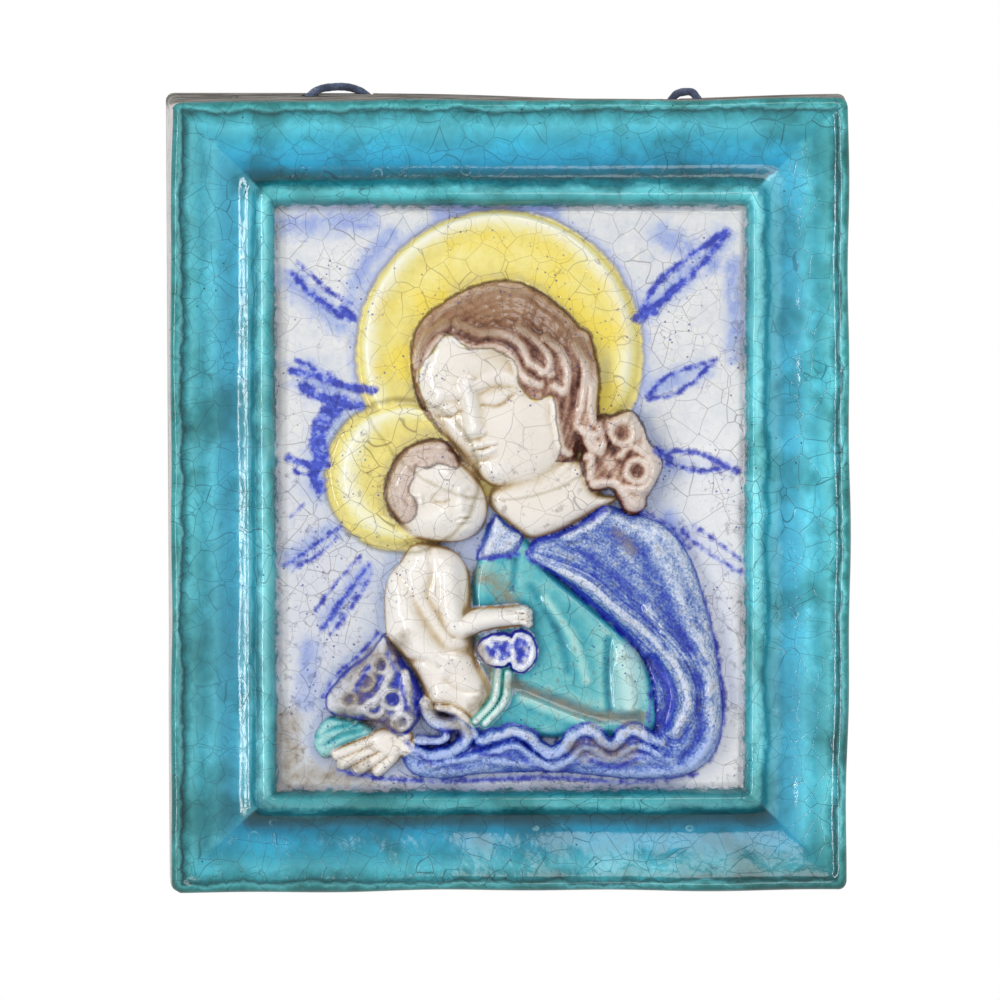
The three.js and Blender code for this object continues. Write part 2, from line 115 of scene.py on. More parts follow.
for name, wide, tall, place, watts in [
    ("strip light", 0.15, 1.5, (-1.3, -0.98, 0.05), 10.0),
    ("fill light", 1.2, 0.8, (0.6, -1.4, 1.2), 11.0),
]:
    light = bpy.data.lights.new(name, "AREA")
    light.shape = "RECTANGLE"
    light.size = wide
    light.size_y = tall
    light.energy = watts
    lamp = bpy.data.objects.new(name, light)
    scene.collection.objects.link(lamp)
    lamp.location = middle + Vector(place)
    lamp.rotation_euler = Vector(place).to_track_quat("Z", "Y").to_euler()
    lamp.visible_camera = False

bpy.ops.mesh.primitive_plane_add(size=2.4, location=(0, 0, low.z - 0.45))
floor = bpy.context.object
floor.name = "floor"
pale, tree, end = material("pale matt floor")
shade = add(tree, "BsdfPrincipled", {"Base Color": (0.86, 0.86, 0.86, 1), "Roughness": 0.9})
tree.links.new(shade, end.inputs["Surface"])
floor.data.materials.append(pale)


# The hanging cord: a soft braid of slate-blue cotton, 3.5 mm thick. It comes out of its
# hole beside the left knot, goes back over the rim, hangs slack across the hollow, and
# goes over the rim again to the right knot.
CORD = 3.5
CORD_ROUTE = [
    # across, y and up, in mm
    (-92.7, -9.9, 161.9), (-89, -11.5, 167), (-85.6, -12.9, 171.8), (-81.2, -12.5, 174.8),
    (-75.1, -10.2, 176), (-69.4, -7.4, 176.1), (-64.3, -5, 174.8), (-60, -3.6, 172),
    (-55.6, -2.9, 167), (-51.2, -2.8, 162), (-46.4, -4.6, 156.4), (-40.8, -6.4, 149),
    (-33.4, -7.8, 139.5), (-24.1, -8.2, 130), (-12.9, -8.2, 123), (1, -8.2, 120),
    (17, -8.2, 122.4), (30.8, -8.2, 129), (42, -8, 138), (51.1, -7, 147.6), (58.1, -5, 156),
    (63.7, -2.8, 162), (67.5, -2.8, 166.2), (71.3, -3.6, 170), (74.3, -5.4, 173.4),
    (77.5, -8.2, 174.2), (80.7, -10.9, 173.8), (83.5, -12.7, 170), (86.5, -11.7, 166),
    (89.5, -10, 161.8),
]
ORIGIN_UP = 169.5  # from the plaque's centre up to the frame's origin, in mm


def spline(points, closed, steps):
    """A centripetal curve through the points, in short straight steps."""
    p = np.array(points, float)
    if closed:
        p = np.vstack([p[-1:], p, p[:2]])
    else:
        p = np.vstack([2 * p[0] - p[1], p, 2 * p[-1] - p[-2]])
    out = []
    for i in range(1, len(p) - 2):
        a, b, c, d = p[i - 1:i + 3]
        ab, bc, cd = [max(np.linalg.norm(y - x) ** 0.5, 1e-4) for x, y in ((a, b), (b, c), (c, d))]
        m1 = ((b - a) / ab - (c - a) / (ab + bc) + (c - b) / bc) * bc
        m2 = ((c - b) / bc - (d - b) / (bc + cd) + (d - c) / cd) * bc
        t = np.linspace(0, 1, steps, endpoint=False)[:, None]
        out.append(b + m1 * t + (3 * (c - b) - 2 * m1 - m2) * t ** 2
                   + (2 * (b - c) + m1 + m2) * t ** 3)
    out.append(p[1:2] if closed else p[-2:-1])
    return np.vstack(out)


def evenly(line, spacing):
    """The same line with points at an even spacing along it."""
    run = np.concatenate([[0], np.cumsum(np.linalg.norm(np.diff(line, axis=0), axis=1))])
    at = np.linspace(0, run[-1], max(8, int(run[-1] / spacing)))
    return np.stack([np.interp(at, run, line[:, k]) for k in range(3)], axis=1)


def braid(name, line, closed, finish):
    """A braided cord along the line, as a mesh in metres, with its strands in relief."""
    count, sides = len(line), 20
    ahead = np.roll(line, -1, 0) - np.roll(line, 1, 0)
    if not closed:
        ahead[0], ahead[-1] = line[1] - line[0], line[-1] - line[-2]
    ahead /= np.linalg.norm(ahead, axis=1)[:, None]
    side = np.cross(ahead[0], (0.3, 1, 0.2))
    rings = []
    for i in range(count):
        side = side - ahead[i] * side.dot(ahead[i])
        side = side / np.linalg.norm(side)
        turn = np.arange(sides) * 2 * np.pi / sides
        wind = i * 0.20
        strands = np.abs(np.sin(2 * turn + wind) * np.sin(2 * turn - wind))
        r = CORD / 2 * (0.93 + 0.11 * strands)
        up = np.cross(ahead[i], side)
        rings.append(line[i] + (r * np.cos(turn))[:, None] * side + (r * np.sin(turn))[:, None] * up)
    verts = (np.vstack(rings) / 1000).tolist()
    faces = []
    for i in range(count if closed else count - 1):
        for k in range(sides):
            j, m = (i + 1) % count, (k + 1) % sides
            faces.append((i * sides + k, i * sides + m, j * sides + m, j * sides + k))
    if not closed:
        faces.append(tuple(range(sides - 1, -1, -1)))
        faces.append(tuple((count - 1) * sides + k for k in range(sides)))
    mesh = bpy.data.meshes.new(name)
    mesh.from_pydata(verts, [], faces)
    mesh.shade_smooth()
    mesh.materials.append(finish)
    made = bpy.data.objects.new(name, mesh)
    scene.collection.objects.link(made)
    return made


# Braided cotton: its slate blue changes a little from thread to thread, with paler worn
# fibres every 6 mm or so and darker gaps between. The threads are drawn 0.7 mm wide,
# coarser than real ones, so that they show.
cotton, tree, end = material("slate-blue braided cotton")
spot = add(tree, "TexCoord", output=3)
threads = add(tree, "TexNoise", {"Vector": spot, "Scale": 1400.0, "Detail": 3.0})
worn = add(tree, "TexNoise", {"Vector": spot, "Scale": 160.0, "Detail": 2.0})
mixed = add(tree, "Math", (threads, worn), operation="MULTIPLY")
colour = add(tree, "ValToRGB", {"Fac": mixed},
             stops=[(0.1, "#262D3E"), (0.25, "#45526E"), (0.42, "#6B7894")])
relief_of_threads = add(tree, "Bump", {"Height": threads, "Strength": 0.5, "Distance": 0.0002})
shade = add(tree, "BsdfPrincipled", {"Base Color": colour, "Roughness": 0.85,
                                     "Sheen Weight": 0.3, "Normal": relief_of_threads})
tree.links.new(shade, end.inputs["Surface"])

route = np.array([(u, y, up - ORIGIN_UP) for u, y, up in CORD_ROUTE])
route = evenly(spline(route, False, 12), 0.4)
cord = braid("braided_hanging_cord", route, False, cotton)
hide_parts("hanging_cord")

for node in ("cord_knot_left", "cord_knot_right"):
    low_k, high_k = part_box(node)
    centre = np.array((low_k + high_k) / 2) * 1000
    t = np.linspace(0, 2 * np.pi, 150, endpoint=False)
    loops = np.stack([np.sin(t) + 2 * np.sin(2 * t), np.cos(t) - 2 * np.cos(2 * t),
                      -1.6 * np.sin(3 * t)], axis=1) * 0.84
    knot = braid("tied_" + node, loops[:, [0, 2, 1]] + centre, True, cotton)
    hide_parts(node)
    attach(knot, "root")

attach(cord, "root")


# The plaque: tin-glazed earthenware, pressed in a mould in one body with the figures, their
# haloes and the frame. It is hollow behind, with a flat rim, and the two holes and two
# notches for the cord go through its top wall.

# Sizes in mm, as (across, up) from its middle, with the rise counted from the wall.
BACK = (297, 348)
LIP = np.array([(-145.2, -171.7), (146.9, -171.9), (145.4, 170.2), (-143.7, 168.2)])
BOW = (0, 1.2, 0, 0.6)
LIP_RISE = 34.6
CORNER = 3.5
LEFT, RIGHT, TOP, BOTTOM = -99.4, 101.9, 123.4, -127.7
PANEL_RISE = 27.6
SLUMP = (2.6, 52, 60)  # how far the top back edge sags, where, and how wide
RIM, DEEP, TAPER = 9, 16, 3
ACROSS, UP, PER_STATION = 234, 291, 3
FRAME_SECTION = [
    # share of the frame's width from its outer edge, and rise
    (0, 34.6), (0.028, 36.6), (0.065, 37.4), (0.102, 36.4), (0.13, 35.2), (0.23, 33.4),
    (0.35, 31.4), (0.44, 29.8), (0.51, 28.2), (0.57, 27.2), (0.61, 27.2), (0.69, 28.9),
    (0.735, 29.8), (0.79, 32.6), (0.85, 34.8), (0.895, 35.4), (0.94, 34), (0.985, 29.4),
    (1, 27.6),
]
CUTS = [
    # radius, and the two ends of each cut as across, y and up
    (3.2, (-97, -8, 156), (-81, -15, 178)), (3.2, (94, -8, 156), (78.5, -15, 176)),
    (4, (-46.4, -0.9, 157), (-65.4, -4.6, 178)), (4, (59.5, -0.9, 157), (78.5, -4.6, 178)),
]


def outline(*points):
    return spline(points, True, 5)


def stroke(*points):
    return spline(points, False, 5)


def ease(x):
    x = np.clip(x, 0, 1)
    return x * x * (3 - 2 * x)


def away(u, v, line, reach=14):
    """Distance to a line, up to the reach."""
    best = np.full(u.shape, float(reach))
    near = ((u > line[:, 0].min() - reach) & (u < line[:, 0].max() + reach)
            & (v > line[:, 1].min() - reach) & (v < line[:, 1].max() + reach))
    x, y = u[near], v[near]
    found = best[near]
    for a, b in zip(line[:-1], line[1:]):
        dx, dy = b - a
        along = np.clip(((x - a[0]) * dx + (y - a[1]) * dy) / (dx * dx + dy * dy + 1e-9), 0, 1)
        found = np.minimum(found, np.hypot(x - a[0] - along * dx, y - a[1] - along * dy))
    best[near] = found
    return best


def within(u, v, line, reach=14):
    """Distance inside an outline, and less than zero outside it."""
    inside = np.zeros(u.shape, bool)
    near = ((u > line[:, 0].min()) & (u < line[:, 0].max())
            & (v > line[:, 1].min()) & (v < line[:, 1].max()))
    x, y = u[near], v[near]
    odd = inside[near]
    for a, b in zip(line[:-1], line[1:]):
        crosses = (a[1] > y) != (b[1] > y)
        odd ^= crosses & (x < (b[0] - a[0]) * (y - a[1]) / (b[1] - a[1] + 1e-12) + a[0])
    inside[near] = odd
    return np.where(inside, 1, -1) * away(u, v, line, reach)


def pad(depth, rise, shoulder):
    """A rise that rounds up from its edge over the width of its shoulder."""
    return np.where(depth <= 0, 0, rise * np.sqrt(1 - (1 - np.clip(depth / shoulder, 0, 1)) ** 2))


def ridge(distance, rise, half):
    return rise * (1 - ease(distance / half))


def over(a, b, blend=0.8):
    """The higher of two surfaces, blended where they meet."""
    mix = np.clip(0.5 + (b - a) / (2 * blend), 0, 1)
    return a + (b - a) * mix + blend * mix * (1 - mix)


def wander(u, v, size):
    """Slow hand-made unevenness, from -1 to 1, with lumps of about the given size."""
    k = 2 * math.pi / size
    return (np.sin(k * (u + 0.4 * v) + 1.3) + np.sin(k * (0.9 * v - 0.5 * u) + 4.1)
            + np.sin(k * 1.7 * (0.6 * u + 0.8 * v) + 0.4) + np.sin(k * 1.6 * (u - 0.3 * v) + 2.2)) / 4


HEAD = outline(
    (-39, 40), (-42, 60), (-38.5, 73.6), (-23.2, 86), (-7.4, 91.9), (6.6, 91.1),
    (23.6, 80.4), (35.1, 65.5), (38.5, 48.9), (36, 30), (28, 14), (12, 2), (-1.5, 1.7),
    (-10.4, 5.1), (-19.4, 14), (-29, 27))
FACE = outline(
    (-38.5, 47), (-36.8, 57), (-32.6, 61.3), (-28.5, 67.5), (-24, 68.9), (-18.1, 63.4),
    (-7.4, 63), (-3.2, 61.3), (2.8, 57), (5, 47), (10.9, 41), (18.5, 42.6), (20.5, 30),
    (22, 18), (13, 5), (-1.5, 1.7), (-10.4, 5.1), (-19.4, 14), (-29, 27))
NECK = outline(
    (15, 40), (22, 21), (36, 14), (40, 1), (49, -1), (33, -11), (22, -16.6),
    (10, -19.5), (0, -14), (-9, -2), (-2, 8))
BUN = outline(
    (32, 22), (38, 34), (44.9, 34.9), (53.4, 36.2), (58.5, 29.5), (61, 23), (65.3, 18.3),
    (67, 12.3), (64.1, 4.7), (60, -2), (56.4, -7.5), (51.7, -6), (44.9, 1.5), (36, 1.3),
    (31, 12))
LOCKS = [
    stroke((-29, 68), (-34, 62), (-38.5, 50)),
    stroke((-27, 74), (-35, 68), (-40, 56)),
    stroke((-23, 67), (-16, 63.5), (-6, 64), (2, 59), (6, 51), (13, 47.5)),
    stroke((-22, 74), (-13, 70), (-3, 69.5), (5, 65), (9, 57), (17.7, 52)),
    stroke((3.9, 72), (11.3, 67), (16.8, 60), (17.2, 55), (13.6, 52.6)),
    stroke((15, 67.5), (22, 62), (25.3, 52), (23.5, 44.5), (19.6, 47)),
    stroke((28.3, 64.7), (32.6, 55.3), (31, 40), (29.5, 29), (36, 25), (39, 19)),
    stroke((19.2, 39.6), (21, 29), (23.5, 20), (30, 16), (35.5, 16.8), (34.5, 7)),
    stroke((36, 46), (36.5, 34), (40, 27)),
    stroke((36, 4.5), (44.9, 4.8), (50.5, 0), (55, -5)),
    stroke((57, 33), (60.5, 24), (58, 18)),
    stroke((48, 17), (52, 21), (59, 17.5), (62.5, 11), (59, 3), (51, 3)),
]
CURLS = [(49.2, 27.4, 5.2), (55.5, 10.5, 4.6), (37.5, 23, 3.4)]
TAIL = stroke((30, 66), (33.5, 52), (33, 38), (34, 28), (40, 18), (48, 8), (54, -3))

# The mother's face is bent down to the left. It is modelled on its own axes, from the
# chin: aside runs to the viewer's right and along runs up the middle of the face.
FACE_TURN, CHIN = 0.28, (-3, 3.5)
FACE_FORMS = [
    # aside, along, half width, half height, rise
    (-6, 60, 17, 10, 1.4), (-13, 37.6, 5.4, 4.4, -1.5), (9, 37.6, 7.4, 4.8, -1.7),
    (11.5, 26, 8.5, 8.5, 1.5), (-14, 25.5, 5.2, 7, 1.0), (-4.8, 26.4, 2.9, 2.6, 1.9),
    (-8, 25.4, 1.7, 1.5, 0.8), (-1.4, 25.2, 1.7, 1.5, 0.8), (-2.6, 13.2, 5.4, 1.6, -0.9),
    (-1.2, 6.6, 5.6, 4.2, 1.9), (-12.8, 37.6, 3.5, 2.3, 1.5), (8.6, 37.6, 5.4, 2.7, 1.8),
    (-3.4, 22, 1.2, 1.6, -0.5),
]
FACE_LINES = [
    # rise, half width, then places aside and along
    (0.7, 3.2, (-19, 42), (-13.5, 45.4), (-7.5, 44.6)),
    (0.7, 3.4, (1.5, 44.8), (9, 47), (17.5, 43)),
    (2.6, 4.6, (-2.4, 47), (-3.2, 38), (-4.6, 28)),
    (-0.8, 1.2, (-17.5, 36.8), (-13, 35), (-8, 36.2)),
    (-0.9, 1.3, (1.8, 36.2), (8.6, 34.2), (15.5, 37)),
    (-0.5, 1.1, (-17, 40.8), (-13, 41.8), (-8.4, 40.6)),
    (-0.5, 1.1, (2.4, 41), (9, 42.6), (15.6, 40.2)),
    (1.3, 1.7, (-8, 19.2), (-4.6, 20.4), (-3.2, 19.9), (-1.8, 20.4), (2.6, 19.2)),
    (1.5, 2.0, (-6, 16.8), (-2.8, 16.1), (1, 16.8)),
    (-1.0, 1.0, (-8.4, 18.4), (-3, 18.1), (3.2, 18.4)),
    (-0.7, 1.2, (-9.6, 24.6), (-8.4, 23.4), (-4.8, 23.2), (-1.4, 23.2), (0.2, 24.4)),
]

CHILD_HEAD = outline(
    (-53.4, -2.6), (-53, 6), (-47, 18), (-38.5, 23), (-28, 24), (-20.5, 16), (-12.5, 6.8),
    (-8.5, -3), (-10, -13), (-17.5, -19.5), (-30, -21), (-41, -18.5), (-48, -12))
CHILD_CAP = outline(
    (-47, -12), (-53.4, -2.6), (-53, 6), (-47, 18), (-38.5, 23), (-28, 24), (-20.5, 16),
    (-22.5, 11.6), (-29, 14), (-35, 12), (-39.6, 12.4), (-41, 7), (-42.8, 3), (-39.5, -4),
    (-42, -11))
CHILD_LOCKS = [
    stroke((-22, 17), (-31, 18), (-40, 17), (-47, 10), (-49.5, 1)),
    stroke((-42.5, 14), (-46, 6), (-46.5, -3), (-45, -9)),
    stroke((-24, 21), (-33, 22), (-42, 20)),
    stroke((-33, 14.5), (-37, 13), (-40, 8.5)),
]
CHILD_BODY = outline(
    (-40.6, -20.9), (-46.6, -28.9), (-51.7, -35.3), (-53.4, -43), (-53.4, -54), (-52.6, -62),
    (-47.5, -68.1), (-41.1, -76.6), (-37.2, -84.3), (-35.5, -91.5), (-26.4, -93.6),
    (-21.1, -96.2), (-15.5, -99.6), (-11.7, -97.5), (-7.4, -89.8), (-6.2, -86),
    (-9.2, -78.7), (-14.3, -68.9), (-15.5, -60), (-15.5, -48), (-17.7, -31), (-25, -23.2))
CHILD_ARM = stroke((-26, -34), (-25, -48), (-22, -56.5), (-12, -54), (3, -52.2))
CHILD_FINGERS = [stroke((2, -52.2 + 2.3 * k), (6.5, -52.2 + 2.5 * k), (8.6, -53.4 + 2.4 * k))
                 for k in (-1, 0, 1)]
CHILD_CREASES = [
    (-1.7, 4.4, stroke((-46.6, -34.9), (-41.1, -45.1), (-36, -54.1), (-31.7, -60.4),
                       (-26.4, -66), (-18.1, -67.5))),
    (-1.5, 3.6, stroke((-35.1, -44.3), (-31.7, -49.4), (-28.7, -54.1), (-24, -60.4))),
    (-1.4, 3.0, stroke((-34, -24.5), (-33, -33), (-35, -41))),
    (-1.2, 2.6, stroke((-44, -72), (-37, -71), (-30, -74))),
    (1.2, 6.0, stroke((-43, -56), (-38, -65), (-29, -74))),
    (-1.3, 2.6, stroke((-27, -80), (-21, -84), (-14.5, -85))),
]
CHILD_CHIN, CHILD_TURN = (-20.5, -17), 0.12
CHILD_FORMS = [
    (-4, 26, 11, 7, 1.3), (-6.5, 16.8, 3.8, 2.8, -1.0), (6, 16.8, 3, 2.6, -0.9),
    (-8, 8.6, 5, 4.8, 1.6), (7.5, 8.6, 3, 4, 0.8), (2, 11.8, 2.1, 2.1, 2.0),
    (-6.5, 16.8, 2.5, 1.7, 1.2), (6, 16.8, 2, 1.5, 1.1), (1, 2.4, 3.4, 2.4, 1.2),
    (2, 4.6, 3, 1, -0.5),
]
CHILD_LINES = [
    (1.0, 2.2, (1.6, 19), (1.8, 15), (2, 12.5)),
    (0.5, 1.6, (-10.5, 20), (-6.5, 21.2), (-2.6, 20)),
    (0.5, 1.6, (3.4, 20), (6.4, 20.8), (9.4, 19.6)),
    (-0.6, 0.9, (-9.6, 16), (-6.5, 14.9), (-3.4, 15.8)),
    (-0.6, 0.9, (3.6, 15.8), (6, 14.9), (8.6, 16)),
    (0.9, 1.2, (-1.2, 7.9), (1.2, 8.6), (2, 8.3), (2.8, 8.6), (5, 7.9)),
    (1.0, 1.3, (-0.4, 6.2), (2, 5.7), (4.2, 6.2)),
    (-0.7, 0.8, (-1.6, 7.2), (2, 7.0), (5.4, 7.2)),
]
CHILD_EAR = stroke((-40.2, -8.5), (-42.2, -4.6), (-41.4, -0.4), (-38.4, 0.2), (-37.6, -3.6))

MANTLE = outline(
    (7.4, -26), (12, -19.2), (22, -16.6), (32.6, -11), (41, -4.7), (46.6, -5.5),
    (58, -8.5), (68, -13.6), (76, -22), (84.9, -43), (91.3, -71.5), (93, -104),
    (88, -116), (77, -122.6), (57, -124.3), (20.6, -121), (-12, -121.7), (-29, -123.8),
    (-42, -120.9), (-46.4, -112.8), (-45, -106), (-33, -111), (-20, -107), (-12, -106.4),
    (2.3, -102), (18.9, -111.3), (33.4, -101), (44, -108), (53, -101), (62, -104),
    (61.9, -82), (54.7, -66.4), (38.5, -51), (18.9, -34))
DRESS = outline(
    (-13.4, -28), (-5.5, -9), (6.6, -17.4), (19, -33), (39, -50), (55, -65.5),
    (63, -82), (64, -103), (40, -106), (0, -105), (-18, -103), (-15, -64), (-16, -40))
COLLAR = outline((-5.7, -8.5), (-10, -19), (-13.4, -28), (-5, -27.5), (3.2, -25.7),
                 (6.6, -18), (0, -13))
BUNCH = outline(
    (-53.4, -60.4), (-59, -67), (-71, -77), (-79, -88), (-77.7, -94.5), (-68, -98),
    (-56, -99), (-46, -105), (-36.8, -94.5), (-37, -86), (-41, -77), (-48.7, -67))
BUNCH_FOLDS = [
    stroke((-56, -66), (-61, -76), (-72, -86)), stroke((-50, -70), (-53, -82), (-62, -92)),
    stroke((-44, -77), (-45, -90), (-50, -99)), stroke((-75, -90), (-66, -92), (-58, -90)),
]
BUNCH_CURLS = [(-62, -80, 4), (-50, -88, 4), (-55, -73, 3.4), (-69, -88, 3.6), (-46, -98, 3.4),
               (-58, -92, 3.6)]
SLEEVE = outline((-77.9, -96.2), (-60, -99.5), (-57.5, -103.4), (-71.7, -109.4),
                 (-79.4, -114.5), (-84.5, -107.7))
SLEEVE_FOLDS = [stroke((-61, -101.5), (-71, -103.5), (-81, -109)),
                stroke((-66, -99.5), (-76, -101), (-82.5, -105))]
FINGERS = [stroke((-52, -103), (-59.5, -106.6), (-74, -112.6)),
           stroke((-50, -105.5), (-57, -109.6), (-71.5, -116.6)),
           stroke((-48, -107.5), (-54, -112.4), (-65.5, -119.6)),
           stroke((-46, -109), (-49.5, -113.4), (-56.5, -119.8))]
PALM = outline((-41, -103), (-51, -100), (-60, -104), (-59, -110), (-50, -115), (-42, -111))
FOLDS = [
    # rise, half width, line
    (3.0, 4.4, stroke((10.9, -28.9), (33.4, -37.9), (44.9, -47.7), (57.2, -57.5),
                      (66.2, -66.4), (73.4, -75.3), (77.5, -90), (72, -102))),
    (1.8, 4.2, stroke((60, -50), (74.3, -68), (84, -76), (88, -84))),
    (1.8, 3.6, stroke((24.5, -17.4), (34, -13.4), (43.2, -5.5))),
    (-3.0, 5.0, stroke((62, -72), (69.5, -85), (68, -99))),
    (-1.2, 6.0, stroke((55, -20), (72, -55), (84, -80))),
    (1.2, 5.0, stroke((48, -12), (64, -24), (76, -48), (84, -70))),
    (-1.0, 3.2, stroke((30, -24), (48, -38), (64, -58))),
    (-1.2, 3.0, stroke((82, -88), (82, -104), (74, -116))),
    (1.3, 3.2, stroke((87, -86), (88, -104), (80, -118))),
    (1.0, 3.0, stroke((-10, -114.5), (14, -117), (38, -114), (60, -114.5))),
    (-0.9, 2.6, stroke((-6, -118), (20, -119.5), (44, -118), (70, -118))),
]
DRESS_FOLDS = [
    (-1.0, 2.6, stroke((3.2, -28), (1.7, -41))),
    (-1.6, 3.4, stroke((43.5, -63), (43, -78), (44, -93))),
    (1.7, 5.0, stroke((49, -69), (52, -80), (53, -92))),
    (-1.6, 4.6, stroke((1, -81.7), (22, -89.4), (39, -95.8), (56, -96.6))),
    (1.2, 4.0, stroke((16, -46), (28, -62), (34, -80))),
    (-1.0, 3.4, stroke((10, -40), (21, -58), (26, -76))),
    (1.0, 3.6, stroke((6, -88), (24, -96), (40, -101))),
]
HEM = stroke((-12, -106.5), (-6, -104.8), (2.3, -102.6), (8.5, -104.6), (13, -109.6),
             (18.9, -112.6), (24, -110), (28.5, -104.4), (33.4, -102), (38, -103.8),
             (41.5, -107.6), (45, -108.6), (48, -106.4), (51, -102.9), (55, -102.2),
             (60, -105.4), (66, -107.4))
UNDER_HEM = stroke((-34, -117), (-20, -114.4), (-8, -111.6), (3, -108.6), (9.5, -112.4),
                   (18.5, -117.6), (26, -115), (32, -109.6), (38, -110.4), (44.6, -114.4),
                   (51, -110.6), (57, -108.8), (66, -112.6))
SWIRL = stroke((-36, -90), (-33.5, -96), (-27, -99.6), (-20.5, -99.2), (-17.6, -104),
               (-21, -109.6), (-28, -112.4), (-36, -112.6), (-44.5, -109.4))
INNER_SWIRL = stroke((-30, -92), (-23.5, -93.5), (-17.5, -98), (-14, -104.5))
CURL_IN = stroke((-39, -106.5), (-33, -106.8), (-27, -105.5), (-26.5, -103.6))
ROSETTE = [outline((-14.2, -66), (-8, -59.6), (2.6, -61), (4.2, -70), (-1, -74.6), (-9, -74)),
           outline((1.5, -59), (8.6, -58.6), (12.6, -65), (12, -72), (6.2, -77.4), (0.6, -75))]
RIBBONS = [stroke((-4.5, -75.8), (-6.2, -88.5), (-14.3, -97.9)),
           stroke((-0.2, -77), (-1.5, -88.5), (-10, -98.7))]
MOTHER_HALO = (-3.6, 60.4, 62.4, -4.5, 64, 55.5)
CHILD_HALO = (-46.2, 8.1, 33.2, -42, 9.8, 26.4)


def halo(u, v, shape, rise, field):
    """A shallow dish, its edge and rim: the rise over the ground and the depth inside."""
    cu, cv, radius, ru, rv, rim = shape
    edge = radius - np.hypot(u - cu, v - cv)
    in_rim = rim - np.hypot(u - ru, v - rv)
    slope = ease(np.maximum(edge, 0) / np.maximum(edge - in_rim, 0.01))
    dish = rise + (field - rise) * ease(in_rim / 9)
    return np.where(edge <= 0, 0, np.where(in_rim > 0, dish, rise * slope)), edge


def features(u, v, at, turn, forms, lines):
    """The forms of a face on its own axes."""
    aside = (u - at[0]) * math.cos(turn) + (v - at[1]) * math.sin(turn)
    along = (v - at[1]) * math.cos(turn) - (u - at[0]) * math.sin(turn)
    h = np.zeros(u.shape)
    for a, b, wide, tall, rise in forms:
        h += rise * np.exp(-(((aside - a) / wide) ** 2) - ((along - b) / tall) ** 2)
    for rise, half, *places in lines:
        h += ridge(away(aside, along, stroke(*places), half + 1), rise, half)
    return h


def folded(u, v, folds):
    return sum(ridge(away(u, v, line, half + 1), rise, half) for rise, half, line in folds)


